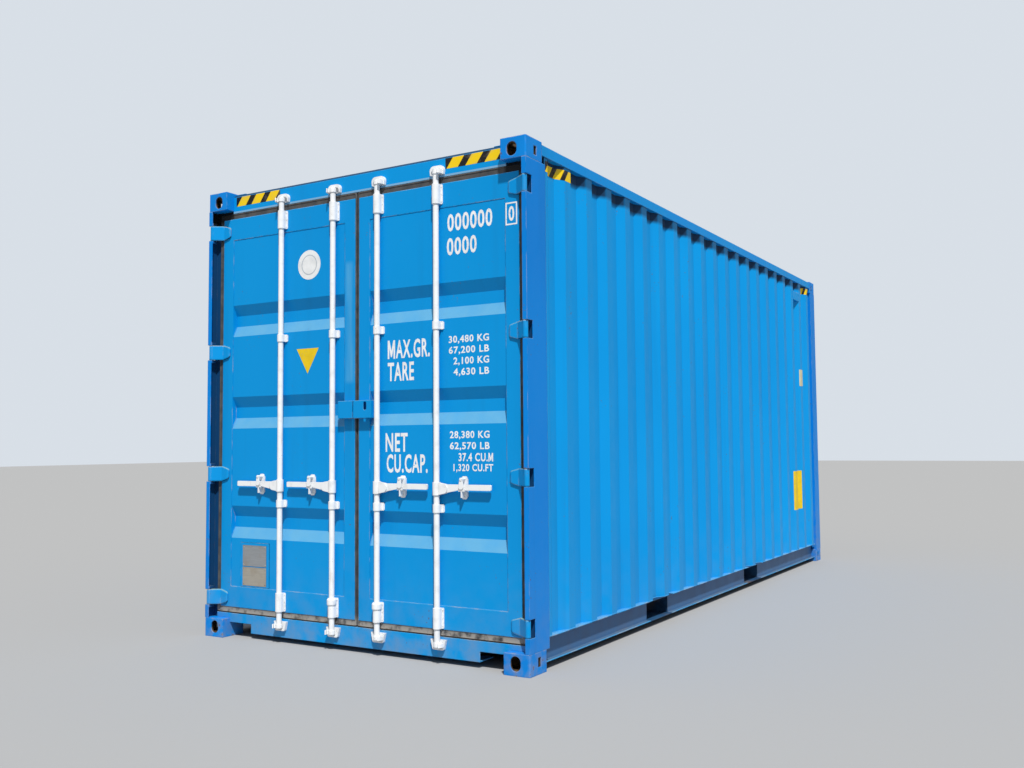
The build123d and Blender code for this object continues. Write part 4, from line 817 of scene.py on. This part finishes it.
# The letter M is cut by its own outline, because the font's one crosses itself when it is made bold.
LETTER_M = ((0, 0), (0.21, 0), (0.21, 0.60), (0.42, 0.10), (0.58, 0.10), (0.79, 0.60), (0.79, 0), (1, 0),
            (1, 1), (0.76, 1), (0.50, 0.42), (0.24, 1), (0, 1))
WORD_ROWS = (("AX.GR.", 291, 535, 1729, 1838), ("TARE", 231, 422, 1598, 1707), ("NET", 215, 376, 1184, 1293),
             ("CU.CAP.", 223, 518, 1062, 1170))
ROW_TALL = 47.0
WEIGHT_ROWS = (("30,480 KG", 668, 938, 1791), ("67,200 LB", 668, 938, 1730), ("2,100 KG", 700, 938, 1668),
               ("4,630 LB", 700, 938, 1606))
VOLUME_ROWS = (("28,380 KG", 673, 938, 1252), ("62,570 LB", 673, 938, 1190), ("37.4 CU.", 732, 925, 1129),
               ("1,320 CU.FT", 697, 960, 1068))
lettered("weight_words", WORD_ROWS, PANEL_DEPTH, "right")
for name, rows in (("weight_figures", WEIGHT_ROWS), ("volume_figures", VOLUME_ROWS)):
    rows = [(words, left, right, foot, foot + ROW_TALL) for words, left, right, foot in rows]
    lettered(name, rows, PANEL_DEPTH, "right")
for name, left, right, foot, head in (("weight_words_m", 231, 285, 1729, 1838),
                                      ("volume_figures_m", 930, 960, 1129, 1129 + ROW_TALL)):
    letter = [(left + (right - left) * x, foot + (head - foot) * z) for x, z in LETTER_M]
    cut_film(name, letter, PANEL_DEPTH, stencil_white, "right")

DISC_X, DISC_Z = -389.0, 2353.0
disc_white = sign_film("disc_white", (0.82, 0.84, 0.85), 0.3)
disc_grey = sign_film("disc_grey", (0.50, 0.55, 0.60), 0.3)
DISC_LAYERS = (("plain_disc", 93.0, disc_white, FILM_T), ("plain_disc_ring", 64.0, disc_grey, 0.8),
               ("plain_disc_middle", 57.0, disc_white, 1.0))
for name, radius, film, thick in DISC_LAYERS:
    cut_film(name, round_outline(DISC_X, DISC_Z, radius), PANEL_DEPTH, film, "left", thick)
film_yellow = sign_film("film_yellow", (0.80, 0.56, 0.010), 0.4)
cut_film("plain_triangle", ((-490, 1828), (-399, 1672), (-308, 1828)), PANEL_DEPTH, film_yellow, "left")


def plate_metal(name, colour, metallic, roughness):
    """A thin rolled plate with a lengthwise grain and a film of dust."""
    material, tree, place = start_material(name, colour, roughness, metallic, 0.4)
    rolled = grain(tree, place, 0.004, 3.0, stretch=(1.0, 0.05, 1.0))
    film = grain(tree, place, 0.06, 4.0)
    tint = lay_over(tree, share(tree, rolled, 0.3, 0.7, 0.6), colour, tuple(0.72 * c for c in colour))
    tint = lay_over(tree, share(tree, film, 0.5, 0.72, 0.45), tint, ROAD_DUST)
    return end_material(material, tint, normal=raise_surface(tree, rolled, 0.0001))


plate_grey = plate_metal("plate_grey", (0.38, 0.40, 0.42), 0.5, 0.42)
plate_sand = plate_metal("plate_sand", (0.46, 0.43, 0.37), 0.4, 0.5)
CARRIER, CARRIER_T, CARRIER_RIM = (-962.0, -712.0, 326.0, 608.0), 2.5, 3.0
PLATE_LEFT, PLATE_RIGHT, PLATE_T, PLATE_RIM, RIM_HIGH = -942, -737, 1.2, 4.0, 0.6
PLATE_RIVETS_X, PLATE_RIVETS_Z, PLATE_RIVET_OUT = (-932, -747), (345, 442, 468, 580), 3.8


def rimmed_plate(name, place, depth, thick, material, rim):
    """Lays a bare plate with a raised rim all round."""
    cut_film(name, oblong(*place), depth, material, "left", thick)
    for side, bar in rim_bars(*place, rim).items():
        cut_film(f"{name}_{side}_rim", oblong(*bar), depth, material, "left", thick + RIM_HIGH)


rimmed_plate("plate_carrier", CARRIER, PANEL_DEPTH, CARRIER_T, leaf_frame_paint, CARRIER_RIM)
for name, foot, head, metal in (("bare_plate_upper", 458, 590, plate_grey),
                                ("bare_plate_lower", 335, 452, plate_sand)):
    plate = (PLATE_LEFT, PLATE_RIGHT, foot, head)
    rimmed_plate(name, plate, PANEL_DEPTH - CARRIER_T, PLATE_T, metal, PLATE_RIM)
plate_points = [at_door(x, PANEL_DEPTH - PLATE_RIVET_OUT, z)
                for x in PLATE_RIVETS_X for z in PLATE_RIVETS_Z]
plate_rivet_tree, plate_rivet_sockets = stud_tree(pin_steel)
plate_rivets = grown("plate_rivets", new_mesh("plate_points", plate_points), plate_rivet_tree,
                     plate_rivet_sockets,
                     {"Head radius": 0.0035, "Head height": 0.0018, "Washer share": 1.05})
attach(plate_rivets, "left_door")


# Hazard stripes and labels
# Black and yellow film along the top of the door header and the side walls, which marks a tall container,
# and plain labels on the side wall. The film is pressed into the troughs with a roller.
STRIPE_LEAN, BLACK_SHARE = 0.72, 0.40
STRIPE_BLACK, STRIPE_YELLOW = (0.010, 0.010, 0.011), (0.88, 0.60, 0.004)
WALL_FILM_OUT, WALL_FILM_SUNK = 0.0007, 0.0003


def hazard_film(name, first_black, height, pitch):
    """Black film with leaning yellow stripes, whose first black starts at a place at that height."""
    material, tree, place = start_material(name, (0.02, 0.02, 0.02), 0.45, reflection=0.35)
    apart = add(tree, "ShaderNodeSeparateXYZ", {"Vector": place})
    slid = apart.outputs["X"]
    steps = (("SUBTRACT", apart.outputs["Y"]), ("SUBTRACT", times(tree, apart.outputs["Z"], STRIPE_LEAN)),
             ("SUBTRACT", first_black - STRIPE_LEAN * height), ("DIVIDE", pitch), ("FRACT", 0.0),
             ("GREATER_THAN", BLACK_SHARE))
    for operation, value in steps:
        slid = add(tree, "ShaderNodeMath", {0: slid, 1: value}, operation=operation).outputs[0]
    film = grain(tree, place, 0.04, 5.0)
    tint = lay_over(tree, slid, STRIPE_BLACK, STRIPE_YELLOW)
    tint = lay_over(tree, share(tree, film, 0.52, 0.75, 0.3), tint, ROAD_DUST)
    return end_material(material, tint, share(tree, film, 0.3, 0.7, 0.6, 0.35))


def on_wall(name, side, start, end, foot, head, material):
    """Lays a film that follows the side wall's pressing between two places along it."""
    line = [(start, None)] + [(x, level) for x, level in wall_line if start < x < end] + [(end, None)]
    places = []
    for x, level in line:
        if level is None:
            for (x0, l0), (x1, l1) in zip(wall_line, wall_line[1:]):
                if x0 <= x <= x1:
                    level = l0 + (l1 - l0) * (x - x0) / (x1 - x0)
        places.append((x, level))
    points, faces = [], []
    for x, level in places:
        for out in (WALL_FILM_OUT, -WALL_FILM_SUNK):
            y = side * (WALL_FACE - WALL_DEPTH * level + out)
            points += [(x, y, foot), (x, y, head)]
    for i in range(len(places) - 1):
        a, b = 4 * i, 4 * (i + 1)
        faces += [(a, b, b + 1, a + 1), (a + 2, a + 3, b + 3, b + 2), (a, a + 2, b + 2, b),
                  (a + 1, b + 1, b + 3, a + 3)]
    last = 4 * (len(places) - 1)
    faces += [(0, 1, 3, 2), (last, last + 2, last + 3, last + 1)]
    mesh = new_mesh(name, points, faces=faces)
    shape = bmesh.new()
    shape.from_mesh(mesh)
    bmesh.ops.recalc_face_normals(shape, faces=shape.faces)
    shape.to_mesh(mesh)
    shape.free()
    mesh.materials.append(material)
    made = put(name, mesh)
    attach(made, "container")


HEADER_DEPTH, HEADER_FOOT, HEADER_HEAD = 61.0, 2804.0, 2865.0
HEADER_PITCH, WALL_PITCH = 0.129, 0.118
header_x = DOOR_END + HEADER_DEPTH / 1000
for name, left, right, first_black in (("header_stripes_left", -1030.0, -640.0, -1031.0),
                                       ("header_stripes_right", 650.0, 1045.0, 650.0)):
    film = hazard_film(f"{name}_film", header_x + first_black / 1000, HEADER_HEAD / 1000, HEADER_PITCH)
    cut_film(name, oblong(left, right, HEADER_FOOT, HEADER_HEAD), HEADER_DEPTH, film, None)
STRIPES_FOOT, STRIPES_HEAD = 2.744, 2.805
for side, hand in ((-1, "right"), (1, "left")):
    for place_name, start, end in (("near", -2.806, -2.430), ("far", 2.560, 2.790)):
        first_black = start - BLACK_SHARE * WALL_PITCH - side * WALL_FACE
        film = hazard_film(f"{hand}_wall_film_{place_name}", first_black, STRIPES_FOOT, WALL_PITCH)
        on_wall(f"{hand}_wall_stripes_{place_name}", side, start, end, STRIPES_FOOT, STRIPES_HEAD, film)
label_sand = sign_film("label_sand", (0.62, 0.58, 0.40), 0.3)
on_wall("yellow_label", -1, 2.140, 2.425, 0.565, 0.940, film_yellow)
on_wall("sand_label", -1, 2.425, 2.560, 1.785, 1.950, label_sand)


# Studio floor, light and camera
# A plain pale floor and sky, a lamp high to the left of the camera, and the photograph's viewpoint.
FLOOR_HALF = 60.0
corners = [(x, y, 0) for x, y in oblong(-FLOOR_HALF, FLOOR_HALF, -FLOOR_HALF, FLOOR_HALF)]
floor_mesh = new_mesh("studio_floor", corners, faces=[(0, 1, 2, 3)])
studio_floor = put("studio_floor", floor_mesh)
floor_grey = start_material("studio_floor", (0.37, 0.375, 0.38), 0.85, reflection=0.1)[0]
floor_mesh.materials.append(floor_grey)

world = bpy.data.worlds.new("studio_sky")
world.use_nodes = True
sky = world.node_tree.nodes["Background"]
sky.inputs["Color"].default_value = (0.86, 0.90, 0.95, 1.0)
sky.inputs["Strength"].default_value = 0.42
backdrop = add(world.node_tree, "ShaderNodeBackground", {"Color": (0.80, 0.86, 0.93, 1.0), "Strength": 0.86})
seen = add(world.node_tree, "ShaderNodeLightPath").outputs["Is Camera Ray"]
either = add(world.node_tree, "ShaderNodeMixShader", {0: seen, 1: sky.outputs[0], 2: backdrop.outputs[0]})
world.node_tree.links.new(either.outputs[0], world.node_tree.nodes["World Output"].inputs["Surface"])
bpy.context.scene.world = world
bpy.context.scene.view_settings.view_transform = "Standard"

lamp = bpy.data.lights.new("key_lamp", "SUN")
lamp.energy = 4.2
lamp.angle = math.radians(3.0)
lamp.color = (1.0, 0.975, 0.94)
key = put("key_lamp", lamp)
LAMP_HEADING, LAMP_OUT, LAMP_UP = math.radians(41), 0.57, 0.82
LAMP_FROM = Vector((-LAMP_OUT * math.cos(LAMP_HEADING), -LAMP_OUT * math.sin(LAMP_HEADING), LAMP_UP))
key.rotation_euler = LAMP_FROM.to_track_quat("Z", "Y").to_euler()

CAMERA_AT = Vector((-7.600, -3.873, 1.221))
LOOK_ALONG = Vector((0.8568, 0.5157, 0.0)).normalized()
PITCH, ROLL = math.radians(3.482), math.radians(-0.441)
SENSOR, FOCAL_PIXELS, PICTURE_WIDTH = 36.0, 995.0, 1024.0
forward = (LOOK_ALONG * math.cos(PITCH) + Vector((0, 0, math.sin(PITCH)))).normalized()
level = forward.cross(Vector((0, 0, 1))).normalized()
upward = level.cross(forward)
across = level * math.cos(ROLL) + upward * math.sin(ROLL)
upright = upward * math.cos(ROLL) - level * math.sin(ROLL)
lens = bpy.data.cameras.new("camera")
lens.sensor_width = SENSOR
lens.lens = FOCAL_PIXELS / PICTURE_WIDTH * SENSOR
camera = put("camera", lens)
camera.matrix_world = Matrix((
    (across.x, upright.x, -forward.x, CAMERA_AT.x), (across.y, upright.y, -forward.y, CAMERA_AT.y),
    (across.z, upright.z, -forward.z, CAMERA_AT.z), (0, 0, 0, 1)))
bpy.context.scene.camera = camera
